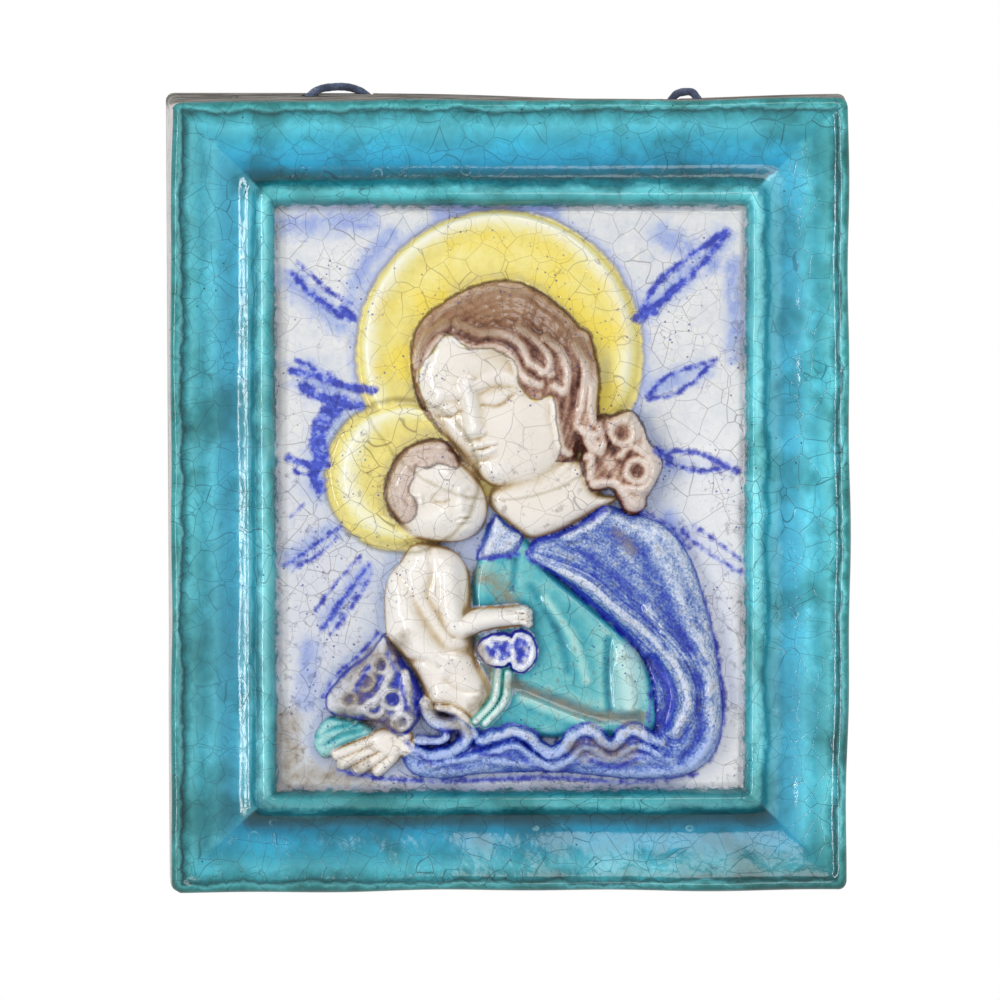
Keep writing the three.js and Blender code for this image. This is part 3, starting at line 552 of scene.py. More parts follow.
def figures(u, v):
    """Every form on the panel: the rise over its ground, and how far inside each colour."""
    inside = {}
    mother_dish, inside["halo"] = halo(u, v, MOTHER_HALO, 4.4, 2.2)
    child_dish, inside["small_halo"] = halo(u, v, CHILD_HALO, 6, 4)
    h = over(mother_dish, child_dish, 0.5) + 0.14 * wander(u, v, 23) + 0.05 * wander(u, v, 9)

    # the mother's neck, face, hair and gathered locks
    head = within(u, v, HEAD, 26)
    skin = within(u, v, FACE)
    neck = within(u, v, NECK)
    bun = within(u, v, BUN)
    up = over(pad(neck, 8, 12), pad(head, 13, 24))
    up = up + np.where(skin > 0, features(u, v, CHIN, FACE_TURN, FACE_FORMS, FACE_LINES)
                       * ease((skin + 0.3) / 2), 0)
    up = up + np.where((head > 0) & (skin < 0), (1.3 - 0.9 * ease((u - 4) / 8)) * ease(-skin / 5), 0)
    tail = 6.2 - away(u, v, TAIL)
    up = over(over(up, pad(bun, 9, 5)), pad(
        tail, 11.4 - 2.4 * ease((30 - v) / 30) - 3.6 * ease((v - 44) / 16), 6.2), 2.0)
    bun = np.maximum(bun, tail)
    in_hair = np.maximum(np.minimum(head, -skin), bun)
    in_hair = np.where((v < 14) & (bun < 0), -1.0, np.minimum(in_hair, 99))
    locks = np.max([ridge(away(u, v, line, 5), 2.3, 2.8) for line in LOCKS], axis=0)
    for cu, cv, radius in CURLS:
        far = np.hypot(u - cu, v - cv)
        locks = np.maximum(locks, ridge(np.abs(far - radius), 2.4, 2.7))
        locks = np.where(far < radius * 0.45, locks - 0.8, locks)
    strands = 0.2 * np.sin(2.1 * head + 2.4 * wander(u, v, 26) + 0.6 * locks)
    strands = strands + 0.3 * wander(u, v, 7)
    up = up + np.where((up > 5) & (skin < 2), locks, 0)
    up = up + np.where(in_hair > 0, strands * ease(in_hair / 1.5), 0)
    h = over(h, up, 0.6)
    inside["hair"] = in_hair
    inside["skin"] = np.maximum(np.minimum(skin, head), np.where(bun > 0, -bun, neck))

    # her dress, collar and mantle, with the gathered stuff at the lower left
    in_dress, in_mantle = within(u, v, DRESS), within(u, v, MANTLE)
    in_collar, in_bunch = within(u, v, COLLAR), within(u, v, BUNCH)
    in_sleeve = within(u, v, SLEEVE)
    dress = pad(in_dress, 6.4, 6) + np.where(in_dress > 0, folded(u, v, DRESS_FOLDS), 0)
    dress = over(dress, pad(in_collar, 8.4, 4))
    mantle = pad(in_mantle, 7.4, 6) + np.where(
        in_mantle > 0, 1.6 * ease(in_mantle / 18) + folded(u, v, FOLDS), 0)
    cloth = over(dress, mantle, 0.5)
    bunch = pad(in_bunch, 8.5, 7) + np.where(
        in_bunch > 0, np.max([ridge(away(u, v, f, 5), 2.2, 3.4) for f in BUNCH_FOLDS], axis=0)
        + 0.5 * wander(u, v, 8), 0)
    for cu, cv, radius in BUNCH_CURLS:
        bunch = bunch + ridge(np.abs(np.hypot(u - cu, v - cv) - radius), 1.6, 1.9) * (in_bunch > 0)
    cloth = over(cloth, bunch)
    sleeve = pad(in_sleeve, 6.5, 4) + np.where(
        in_sleeve > 0, sum(ridge(away(u, v, f, 4), -1.3, 1.8) for f in SLEEVE_FOLDS), 0)
    cloth = over(cloth, sleeve)
    in_palm = within(u, v, PALM)
    in_fingers = np.maximum(3.0 - np.min([away(u, v, f) for f in FINGERS], axis=0), in_palm)
    cloth = over(cloth, pad(in_fingers, 5.6, 3.4) + ease(in_palm / 4) * 1.4, 1.2)
    rolls = []
    for roll, half, top in ((HEM, 4.0, 9.8), (UNDER_HEM, 2.8, 10.2), (SWIRL, 3.8, 10.2),
                            (INNER_SWIRL, 2.8, 9.4), (CURL_IN, 2.4, 9.2)):
        far = away(u, v, roll) + 0.5 * wander(u, v, 11)
        rolls.append(half - far)
        cloth = over(cloth, pad(half - far, top, half) + 0.4 * wander(u, v, 6), 0.8)
    in_ribbon = 2.6 - np.min([away(u, v, tail) for tail in RIBBONS], axis=0)
    cloth = over(cloth, pad(in_ribbon, 9.6, 2.6), 0.4)
    in_petal = np.max([within(u, v, petal) for petal in ROSETTE], axis=0)
    cloth = over(cloth, pad(in_petal, 12.4, 4) - 3 * ease((in_petal - 1.6) / 2.4)
                 + 0.9 * wander(u, v, 6.5) * (in_petal > 0), 0.4)
    h = over(h, cloth, 0.6)

    # the child
    in_head, in_cap = within(u, v, CHILD_HEAD, 16), within(u, v, CHILD_CAP)
    in_body = within(u, v, CHILD_BODY)
    ball = pad(in_head, 13.5, 15)
    ball = ball + np.where(in_head > 0, 1.25 * features(
        u, v, CHILD_CHIN, CHILD_TURN, CHILD_FORMS, CHILD_LINES) * ease(in_head / 3), 0)
    ball = ball + np.where(in_head > 0, ridge(away(u, v, CHILD_EAR, 3), 1.3, 1.5), 0)
    tufts = np.max([ridge(away(u, v, line, 4), 1.3, 2.4) for line in CHILD_LOCKS], axis=0)
    ball = ball + np.where((in_cap > 0) & (in_head > 0), pad(in_cap, 1.5, 2.5) + tufts
                           + 0.22 * np.sin(2.9 * in_head) * ease(in_cap / 2), 0)
    body = pad(in_body, 11, 12) + np.where(in_body > 0, folded(u, v, CHILD_CREASES), 0)
    arm = 6.4 - away(u, v, CHILD_ARM) - ease((u + 22) / 20) * 1.2
    hand = 1.9 - np.min([away(u, v, f) for f in CHILD_FINGERS], axis=0)
    kid = over(body, pad(arm, 13, 6.2), 1.6)
    kid = over(kid, pad(hand, 12.6, 1.9), 1.0)
    h = over(h, over(kid, ball, 0.6), 0.6)

    # what lies on top takes the colour
    limbs = np.maximum.reduce([in_body, arm, hand])
    infant = np.maximum(in_head, limbs)
    trim = np.maximum(in_petal, in_ribbon)
    hem = np.maximum.reduce(rolls)
    free = -np.maximum(infant, np.maximum(trim, in_fingers))
    inside["skin"] = np.minimum(inside["skin"], -np.maximum(in_collar, np.maximum(
        np.minimum(in_mantle, cloth - up), -99)))
    inside["hair"] = np.minimum(inside["hair"], -infant)
    inside["skin"] = np.maximum(np.minimum(inside["skin"], -infant), np.minimum(infant, -in_petal))
    inside["skin"] = np.maximum(inside["skin"], in_fingers)
    inside["cap"] = np.minimum(in_cap, in_head)
    inside["dress"] = np.minimum(in_dress, free)
    inside["mantle"] = np.minimum(np.maximum(np.maximum(in_mantle, in_collar), hem), free)
    inside["bunch"] = np.minimum(np.maximum(in_bunch, -6), -np.maximum(limbs, in_petal))
    inside["sleeve"] = np.minimum(in_sleeve, -in_fingers)
    inside["ribbon"] = in_ribbon
    inside["petal"] = in_petal
    inside["hem"] = hem
    inside["figures"] = np.maximum.reduce([in_hair, skin, infant, in_dress, in_mantle,
                                           in_bunch, in_sleeve])
    inside["flow"] = away(u, v, FOLDS[0][2], 40)
    inside["crown"] = np.minimum(20 * ease((v - 58 + 0.3 * np.abs(u)) / 26), in_hair * 3)
    return h, inside


# The painter's blue on the ground: rays and leaf shapes in strokes of strong cobalt, the
# line under the figures, and the thin wash round them.
INK = [
    # half width of the brush, then places
    (1.5, (-94, 96), (-84, 86), (-71, 76.5)), (1.0, (-90, 100), (-80, 90), (-68, 82)),
    (2.2, (-72, 80), (-67, 76)), (2.0, (-93, 53), (-82, 51), (-70, 47), (-58, 45)),
    (2.6, (-88, 46), (-78, 41), (-64, 38)), (1.4, (-91, 58), (-84, 54), (-76, 51)),
    (4.0, (-72, 40), (-79, 33), (-82, 24), (-80, 14)), (2.6, (-82, 20), (-83, 8), (-81, 2)),
    (1.9, (-95, 16), (-87, 13), (-79, 14)), (1.2, (-92, 10), (-85, 8), (-79, 6)),
    (1.0, (-97, -31), (-85, -23), (-73, -14)), (0.9, (-92, -32), (-82, -26), (-74, -19)),
    (1.3, (-80, -58), (-72, -46), (-60, -30)), (1.1, (-77, -61), (-66, -46), (-59, -34)),
    (0.9, (-83, -50), (-74, -38), (-64, -27)), (0.8, (-88, -4), (-94, -10)),
    (2.0, (57, 77), (66, 83), (76, 92)), (1.5, (76, 92), (84, 99), (95, 114)),
    (1.6, (58, 79), (63, 89), (75, 100), (95, 114)), (2.4, (56, 76), (63, 79)),
    (1.1, (61, 41), (72, 43), (90, 58)), (1.1, (60, 42), (69, 51), (90, 58)),
    (1.5, (65, 18), (80, 18), (99, 10)), (1.2, (69, 13), (82, 10), (94, 11)),
    (2.0, (64, 19), (70, 15)), (1.1, (76, -16), (87, -26), (101, -34)),
    (1.0, (80, -14), (91, -21), (101, -29)),
    (1.1, (-73, -120), (-50, -124), (-20, -124.5), (20, -123.5), (52, -125.4), (82, -122)),
    (1.1, (84, -40), (91, -70), (93.6, -100), (88, -117)), (1.0, (58, -8), (70, -14), (78, -24)),
    (0.8, (-56, -60), (-63, -68), (-74, -78), (-80.5, -88)),
    (1.2, (-12, -27.6), (-4, -26.5), (4, -26)), (1.0, (-6, -9), (-13.6, -28)),
    (1.1, (8, -27), (12.4, -19.6)), (1.5, (63, -70), (70.4, -85), (69, -100)),
    (1.0, (9, -27.6), (20, -34), (39, -50.5), (55, -66)), (0.9, (62, -83), (61, -99)),
    (0.9, (-45, -106), (-36, -114), (-20, -118)), (1.0, (14, -20), (30, -13.4), (42, -6.6)),
    (1.2, (-52, -68), (-47, -80), (-44, -92)), (1.3, (-60, -74), (-66, -84)),
    (1.2, (-30, -101), (-24, -103), (-21, -106)), (1.0, (6, -114), (18, -120.6), (30, -116)),
    (1.0, (-12, -112), (0, -112.4)), (1.0, (36, -115), (46, -118), (58, -113)),
]
WASH = [
    (7, (60, 80), (78, 96), (92, 110)), (7, (66, 112), (88, 100)), (6, (62, 46), (84, 54)),
    (6, (72, 12), (96, 12)), (7, (80, -18), (98, -32)), (8, (-92, 92), (-74, 76)),
    (9, (-88, 52), (-74, 40), (-80, 20), (-82, 4)), (6, (-94, -28), (-76, -16)),
    (6, (-78, -54), (-62, -34)), (5, (-72, 72), (-62, 98), (-50, 112)), (5, (-30, 121), (20, 122)),
    (7, (-94, 116), (-60, 118)), (6, (-86, -66), (-88, -90)), (5, (97, 100), (98, 60)),
    (5, (70, -10), (92, -50), (98, -90)),
]
STAIN = [
    (6, (-12, -34), (-5, -38), (0, -45)), (4.5, (1, -82), (22, -90), (39, -96), (57, -97)),
    (7, (-58, -70), (-64, -82), (-70, -92)), (5, (-34, -92), (-20, -101)),
    (3, (46, -16), (54, -24)), (5, (-46, -62), (-54, -72)),
    (5, (-60, -98), (-48, -100)), (8, (-94, -123), (-62, -121)), (8, (-95, -98), (-95, -122)),
    (6, (30, -110), (52, -112)), (4, (-16, -62), (-8, -78), (-16, -94)),
]


def soften(grid, reach):
    """The grid averaged over a square of the given number of cells either way."""
    for axis in (0, 1):
        wide = np.concatenate([np.repeat(np.take(grid, [0], axis), reach + 1, axis), grid,
                               np.repeat(np.take(grid, [-1], axis), reach, axis)], axis)
        run = np.cumsum(wide, axis)
        size = 2 * reach + 1
        grid = (np.take(run, range(size, run.shape[axis]), axis)
                - np.take(run, range(0, run.shape[axis] - size), axis)) / size
    return grid


across = np.linspace(LEFT, RIGHT, ACROSS + 1)
upward = np.linspace(BOTTOM, TOP, UP + 1)
gu, gv = np.meshgrid(across, upward)
height, paint = figures(gu.ravel(), gv.ravel())
height = height.reshape(gu.shape)
border = np.minimum.reduce([gu - LEFT, RIGHT - gu, gv - BOTTOM, TOP - gv])
height = height * ease(border / 2.2)
paint = {name: np.clip(value, -20, 20).reshape(gu.shape) for name, value in paint.items()}
paint["lift"] = (0.75 * (height - soften(soften(height, 3), 3))
                 + 0.3 * (height - soften(soften(height, 9), 9)))
paint["ink"] = np.max([half - away(gu.ravel(), gv.ravel(), stroke(*places), 8)
                       for half, *places in INK], axis=0).reshape(gu.shape)
paint["wash"] = np.max([ease(1 - away(gu.ravel(), gv.ravel(), stroke(*places), 20) / (half * 1.6))
                        for half, *places in WASH], axis=0).reshape(gu.shape)
paint["stain"] = np.max([ease(1 - away(gu.ravel(), gv.ravel(), stroke(*places), 20) / (half * 1.6))
                         for half, *places in STAIN], axis=0).reshape(gu.shape)
paint["lobe"] = ease(1 - away(gu.ravel(), gv.ravel(), stroke((52, -70), (52, -88)), 20)
                     / 11).reshape(gu.shape)
paint["border"] = border

# The stations round the frame, three of the panel's cells apart, with five at each corner.
stations = []
corners = [(LEFT, BOTTOM), (RIGHT, BOTTOM), (RIGHT, TOP), (LEFT, TOP)]
signs = np.array([(-1, -1), (1, -1), (1, 1), (-1, 1)])
back_corners = signs * np.array(BACK) / 2
for side in range(4):
    after = (side + 1) % 4
    count = (UP if side % 2 else ACROSS) // PER_STATION
    run = np.array([(1, 0), (0, 1), (-1, 0), (0, -1)][side])
    outward = np.array([(0, -1), (1, 0), (0, 1), (-1, 0)][side])
    for i in range(count + 1):
        share = i / count
        at = {"panel": np.array(corners[side]) * (1 - share) + np.array(corners[after]) * share}
        for name, ends, bow in (("lip", LIP, BOW[side]), ("back", back_corners, 0)):
            at[name] = (ends[side] * (1 - share) + ends[after] * share
                        + run * CORNER * ((i == 0) * 1.0 - (i == count) * 1.0)
                        + outward * bow * 4 * share * (1 - share))
        corner = side if i == 0 else after
        at["mitre"] = LIP[corner] - signs[corner] * CORNER * 0.293 if i in (0, count) else None
        stations.append({**at, "cells": (side, i * PER_STATION) if i < count else None,
                         "side": side})
    for turn in (0.25, 0.5, 0.75):
        at = {"panel": np.array(corners[after]), "cells": None, "side": side}
        for name, ends in (("lip", LIP), ("back", back_corners)):
            hub = ends[after] - signs[after] * CORNER
            angle = math.pi / 2 * (side - 1 + turn)
            at[name] = hub + CORNER * np.array((math.cos(angle), math.sin(angle)))
        at["mitre"] = LIP[after] - signs[after] * CORNER * 0.293
        stations.append(at)

place_of = {name: np.array([s[name] for s in stations]) for name in ("panel", "lip", "back")}
turns = np.arange(len(stations)) * 1300 / len(stations)
push = 0.4 * np.sin(0.031 * turns + 0.7) + 0.3 * np.sin(0.083 * turns + 2.1)
for k, s in enumerate(stations):
    axis = 1 - s["side"] % 2
    place_of["lip"][k, axis] += push[k] * np.sign(place_of["lip"][k, axis])
mitre = np.array([place_of["lip"][k] if s["mitre"] is None else s["mitre"]
                  for k, s in enumerate(stations)])
slump = np.where(place_of["back"][:, 1] > 0,
                 SLUMP[0] * np.exp(-((place_of["back"][:, 0] - SLUMP[1]) / SLUMP[2]) ** 2), 0)
wall = place_of["back"] - np.stack([np.zeros(len(slump)), slump], axis=1)


def inset(points, by):
    """The outline drawn in towards the middle, for the rim and the hollow."""
    return points * (1 - 2 * by / np.array(BACK))


def placed(points, rise):
    """Places on the plaque with their rise over the wall, in mm."""
    rise = np.broadcast_to(rise, len(points))
    return np.stack([points[:, 0], -rise, points[:, 1] - ORIGIN_UP], axis=1)


back = place_of["back"]
rows = [placed(inset(back, RIM + TAPER), DEEP), placed(inset(back, RIM + TAPER * 0.85), DEEP - 1),
        placed(inset(back, RIM + TAPER * 0.6), DEEP - 3), placed(inset(back, RIM + 0.5), 1),
        placed(inset(back, RIM), 0.3), placed(inset(back, RIM - 0.4), 0),
        placed(inset(wall, 1), 0)]
for rise in (0.5, 1.5, 4, 8, 12, 16, 20, 24, 28, 31.5, 33.6):
    mix = rise / LIP_RISE
    bulge = 0.35 * np.sin(turns * 0.021 + rise * 0.2)[:, None] * (mix > 0.1) * (mix < 0.9)
    rows.append(placed(wall + (place_of["lip"] - wall) * mix + bulge * np.sign(wall), rise))
section = spline([(s * 43, r) for s, r in FRAME_SECTION], False, 3)[:-1]
for share, rise in section:
    share = share / 43
    outer = place_of["lip"] + (mitre - place_of["lip"]) * min(1, share / 0.2)
    spot = outer + (place_of["panel"] - outer) * share
    hand = wander(spot[:, 0], spot[:, 1], 47) * 0.35 + wander(spot[:, 0], spot[:, 1], 15) * 0.12
    rows.append(placed(spot, rise + hand * ease(share / 0.06) * ease((1 - share) / 0.05)))

# The moulding's own corners are rounded off by the hand.
first_row = len(rows) - len(section)
for r, (share, rise) in enumerate(section):
    share = share / 43
    soft = float(ease((share - 0.35) / 0.25) * ease((0.97 - share) / 0.08))
    row = rows[first_row + r]
    smooth = row
    for _ in range(16):
        smooth = (np.roll(smooth, 1, 0) + 2 * smooth + np.roll(smooth, -1, 0)) / 4
    rows[first_row + r] = row * (1 - soft) + smooth * soft

count = len(stations)
points = [np.vstack(rows), placed(np.array([(0.0, 0.0)]), DEEP)]
hub = len(rows) * count
first = hub + 1
points.append(placed(np.stack([gu.ravel(), gv.ravel()], axis=1), PANEL_RISE + height.ravel()))
faces = []
for r in range(1, len(rows)):
    for s in range(count):
        t = (s + 1) % count
        a, b = (r - 1) * count, r * count
        faces.append((a + s, a + t, b + t, b + s))
for s in range(count):
    faces.append((hub, (s + 1) % count, s))
wide = ACROSS + 1
cell = np.arange(UP)[:, None] * wide + np.arange(ACROSS)[None, :] + first
faces += np.stack([cell, cell + 1, cell + 1 + wide, cell + wide], axis=-1).reshape(-1, 4).tolist()


def edge(side, k):
    """The panel's own edge point, counted round it as the stations are."""
    if side == 0:
        return first + k
    if side == 1:
        return first + k * wide + ACROSS
    if side == 2:
        return first + UP * wide + ACROSS - k
    return first + (UP - k) * wide


last = (len(rows) - 1) * count
for s, station in enumerate(stations):
    if station["cells"] is None:
        continue
    side, k = station["cells"]
    a, b = last + s, last + (s + 1) % count
    p = [edge(side, k + step) for step in range(PER_STATION + 1)]
    faces += [(a, p[1], p[0]), (a, p[2], p[1]), (a, b, p[2]), (b, p[3], p[2])]

mesh = bpy.data.meshes.new("glazed_relief_plaque")
mesh.from_pydata((np.vstack(points) / 1000).tolist(), [], faces)
shape = bmesh.new()
shape.from_mesh(mesh)
bmesh.ops.remove_doubles(shape, verts=shape.verts, dist=2e-6)
holes = [e for e in shape.edges if len(e.link_faces) == 1]
if holes:
    bmesh.ops.holes_fill(shape, edges=holes, sides=12)
bmesh.ops.recalc_face_normals(shape, faces=shape.faces)
shape.to_mesh(mesh)
shape.free()
plaque = bpy.data.objects.new("glazed_relief_plaque", mesh)
scene.collection.objects.link(plaque)

# The holes and notches, cut through the top wall.
shape = bmesh.new()
for radius, start, end in CUTS:
    start, end = [Vector((u, y, up - ORIGIN_UP)) / 1000 for u, y, up in (start, end)]
    turn = (end - start).to_track_quat("Z", "Y").to_matrix().to_4x4()
    turn.translation = (start + end) / 2
    bmesh.ops.create_cone(shape, cap_ends=True, segments=28, radius1=radius / 1000,
                          radius2=radius / 1000, depth=(end - start).length, matrix=turn)
drill_mesh = bpy.data.meshes.new("drill")
shape.to_mesh(drill_mesh)
shape.free()
drill = bpy.data.objects.new("drill", drill_mesh)
scene.collection.objects.link(drill)
cut = plaque.modifiers.new("cord holes", "BOOLEAN")
cut.object = drill
cut.operation = "DIFFERENCE"
cut.solver = "EXACT"
bpy.context.view_layer.update()
done = bpy.data.meshes.new_from_object(plaque.evaluated_get(bpy.context.evaluated_depsgraph_get()))
plaque.modifiers.clear()
plaque.data = done
done.name = "glazed_relief_plaque"
bpy.data.objects.remove(drill)
done.shade_smooth()
done.set_sharp_from_angle(angle=math.radians(55))

# Each point's place on the frame and depth inside each painted shape, in mm.
where = np.zeros(len(done.vertices) * 3)
done.vertices.foreach_get("co", where)
where = where.reshape(-1, 3) * 1000
u, v, rise = where[:, 0], where[:, 2] + ORIGIN_UP, -where[:, 1]
lip_left = np.interp(v, LIP[[0, 3], 1], LIP[[0, 3], 0])
lip_right = np.interp(v, LIP[[1, 2], 1], LIP[[1, 2], 0]) + BOW[1] * (1 - (v / 171) ** 2)
lip_bottom = np.interp(u, LIP[[0, 1], 0], LIP[[0, 1], 1])
lip_top = np.interp(u, LIP[[3, 2], 0], LIP[[3, 2], 1])
share_u = np.minimum((u - lip_left) / (LEFT - lip_left), (lip_right - u) / (lip_right - RIGHT))
share_v = np.minimum((v - lip_bottom) / (BOTTOM - lip_bottom), (lip_top - v) / (lip_top - TOP))
share = np.minimum(share_u, share_v)
soft = 0.09 * ease((share - 0.35) / 0.25) * ease((0.97 - share) / 0.08)
near = np.clip(1 - np.abs(share_u - share_v) / np.maximum(soft, 1e-6) / 2, 0, 1)
share = share - soft * near ** 2 / 2
share = np.where((rise < LIP_RISE) & (share < 0.1), (rise - LIP_RISE) / LIP_RISE, share)
gx = np.clip((u - LEFT) / (RIGHT - LEFT) * ACROSS, 0, ACROSS - 1e-6)
gy = np.clip((v - BOTTOM) / (TOP - BOTTOM) * UP, 0, UP - 1e-6)
ix, iy = gx.astype(int), gy.astype(int)
fx, fy = gx - ix, gy - iy
for name, grid in paint.items():
    value = (grid[iy, ix] * (1 - fx) * (1 - fy) + grid[iy, ix + 1] * fx * (1 - fy)
             + grid[iy + 1, ix] * (1 - fx) * fy + grid[iy + 1, ix + 1] * fx * fy)
    layer = done.attributes.new(name, "FLOAT", "POINT")
    layer.data.foreach_set("value", value.astype(np.float32))
lying = np.minimum(lip_right - u, u - lip_left) > np.minimum(lip_top - v, v - lip_bottom)
# Painted light for each rail: a brightness factor, paler on the right and top rails and darker on the
# bottom one, as the lights fall on them, blended across the mitres.
from_edge = np.stack([u - lip_left, lip_right - u, lip_top - v, v - lip_bottom])
weight = np.exp(-np.maximum(from_edge, 0) / 4)
thin = (weight * np.array([1.08, 1.3, 1.36, 0.98])[:, None]).sum(0) / weight.sum(0)
topside = v > lip_top - 0.6
for name, value in (("share", share), ("lying", lying), ("thin", thin), ("topside", topside)):
    layer = done.attributes.new(name, "FLOAT", "POINT")
    layer.data.foreach_set("value", value.astype(np.float32))

# Tin glaze, fired glossy. White on the panel and the sides, turquoise on the frame, and
# painted on the figures; the glaze runs thin and pale on ridges and pools dark in
# hollows, and a net of fine cracks with old dirt in them covers all of it.
glaze, tree, end = material("painted crackle glaze")

# What the mesh knows at each point: how deep it lies inside each colour, its place on the
# frame, and how high it stands over its neighbours.
given = {name: add(tree, "Attribute", output=2, attribute_name=name) for name in (
    "lift", "flow", "wash", "figures", "halo", "border", "lobe", "crown", "stain", "ink",
    "share", "lying", "thin", "topside", "small_halo", "dress", "skin", "mantle", "bunch",
    "sleeve", "hair", "cap", "ribbon", "petal")}

# The unevenness of the glaze and the brush, in lumps of about 1, 4, 18 and 50 mm.
spot = add(tree, "TexCoord", output=3)
fine = add(tree, "TexNoise", {"Vector": spot, "Scale": 900.0, "Detail": 3.0, "Roughness": 0.6})
small = add(tree, "TexNoise", {"Vector": spot, "Scale": 260.0, "Detail": 4.0, "Roughness": 0.62})
broad = add(tree, "TexNoise", {"Vector": spot, "Scale": 55.0, "Detail": 3.0, "Roughness": 0.55})
cloud = add(tree, "TexNoise", {"Vector": spot, "Scale": 20.0, "Detail": 2.0})
to_the_right = add(tree, "SeparateXYZ", (spot,), output=0)
upwards = add(tree, "SeparateXYZ", (spot,), output=2)

# How thin the glaze lies, from 0 where it pools in a hollow to 1 on a ridge: mottled on
# most of it, calm on the skin, grainy on hair, and brushed along the folds of the mantle.
small_grain = add(tree, "MapRange", (small, 0.3, 0.7, -0.12, 0.12))
broad_grain = add(tree, "MapRange", (broad, 0.3, 0.7, -0.1, 0.1))
grain = add(tree, "Math", (small_grain, broad_grain), operation="ADD")
thinness = add(tree, "MapRange", (given["lift"], -1.15, 1.15))
tone = add(tree, "Math", (thinness, grain), operation="ADD")

smooth_grain = add(tree, "MapRange", (small, 0.3, 0.7, -0.05, 0.05))
thinness = add(tree, "MapRange", (given["lift"], -1.7, 1.5))
calm = add(tree, "Math", (thinness, smooth_grain), operation="ADD")

speck = add(tree, "MapRange", (fine, 0.35, 0.65, -0.16, 0.16))
grainy = add(tree, "Math", (speck, 0.6, tone), operation="MULTIPLY_ADD")

flow = add(tree, "Math", (given["flow"], 0.5), operation="MULTIPLY")
sway = add(tree, "MapRange", (broad, 0.0, 1.0, 0.0, 2.4))
streak_at = add(tree, "CombineXYZ", {"X": flow, "Y": sway})
streak = add(tree, "TexNoise", {"Vector": streak_at, "Scale": 1.3, "Detail": 5.0, "Roughness": 0.75})
brushed = add(tree, "MapRange", (given["lift"], -1.9, 1.7))
for mark in (add(tree, "MapRange", (streak, 0.32, 0.68, -0.24, 0.24)),
             add(tree, "MapRange", (small, 0.3, 0.7, -0.2, 0.2)), speck):
    brushed = add(tree, "Math", (brushed, mark), operation="ADD")

# Each edge of paint is ragged: its distance is pushed about by the noise.
ragged = {}
for name, distance, lumps, least, most in [
    ("wash", given["wash"], small, -0.45, 0.35),
    ("figures", given["figures"], broad, -3.5, 3.5),
    ("halo", given["halo"], small, -2.0, 2.0),
    ("stain", given["stain"], small, -0.5, 0.2),
    ("frame", given["share"], small, -0.02, 0.02),
    ("low band", upwards, small, -0.004, 0.004),
]:
    push = add(tree, "MapRange", (lumps, 0.3, 0.7, least, most))
    ragged[name] = add(tree, "Math", (distance, push), operation="ADD")

# The white ground with its blue washes, bare at the lower right, and blotchy painted shade along its
# edge by the frame.
ground = add(tree, "ValToRGB", {"Fac": tone}, stops=[
    (0.1, "#B4BED4"), (0.38, "#D4D8DE"), (0.56, "#E3E3E3"), (1.0, "#EDECEB")])
streaks = add(tree, "MapRange", (streak, 0.45, 0.65))
wash_deep = add(tree, "Math", (given["wash"], streaks), operation="MULTIPLY")
right_side = add(tree, "MapRange", (to_the_right, 0.07, 0.084, 0.0, 0.6))
lower_part = add(tree, "MapRange", (upwards, -0.115, -0.15))
bare_side = add(tree, "Math", (right_side, lower_part), operation="MULTIPLY")
# Painted shade: grey darkening within 6 mm of the frame, broken into blotches.
by_frame = add(tree, "MapRange", (given["border"], 6.0, 0.0))
blotch = add(tree, "MapRange", (broad, 0.35, 0.65, -0.8, 0.2))
shade_by_frame = add(tree, "Math", (by_frame, blotch), operation="ADD")
for amount, colour in [
    (add(tree, "MapRange", (ragged["wash"], 0.1, 1.0, 0.0, 0.75)), "#8FA6DE"),
    (add(tree, "MapRange", (wash_deep, 0.35, 0.9, 0.0, 0.6)), "#6478D2"),
    (add(tree, "MapRange", (ragged["figures"], -4.0, 1.0, 0.0, 0.24)), "#9AA8D4"),
    (bare_side, "#F1F1F1"),
    (add(tree, "MapRange", (ragged["halo"], -4.0, -0.3, 0.0, 0.6)), "#9DA9E2"),
    (add(tree, "MapRange", (shade_by_frame, 0.2, 1.2, 0.0, 0.5)), "#8A8A92"),
]:
    ground = add(tree, "MixRGB", (amount, ground, linear(colour)))

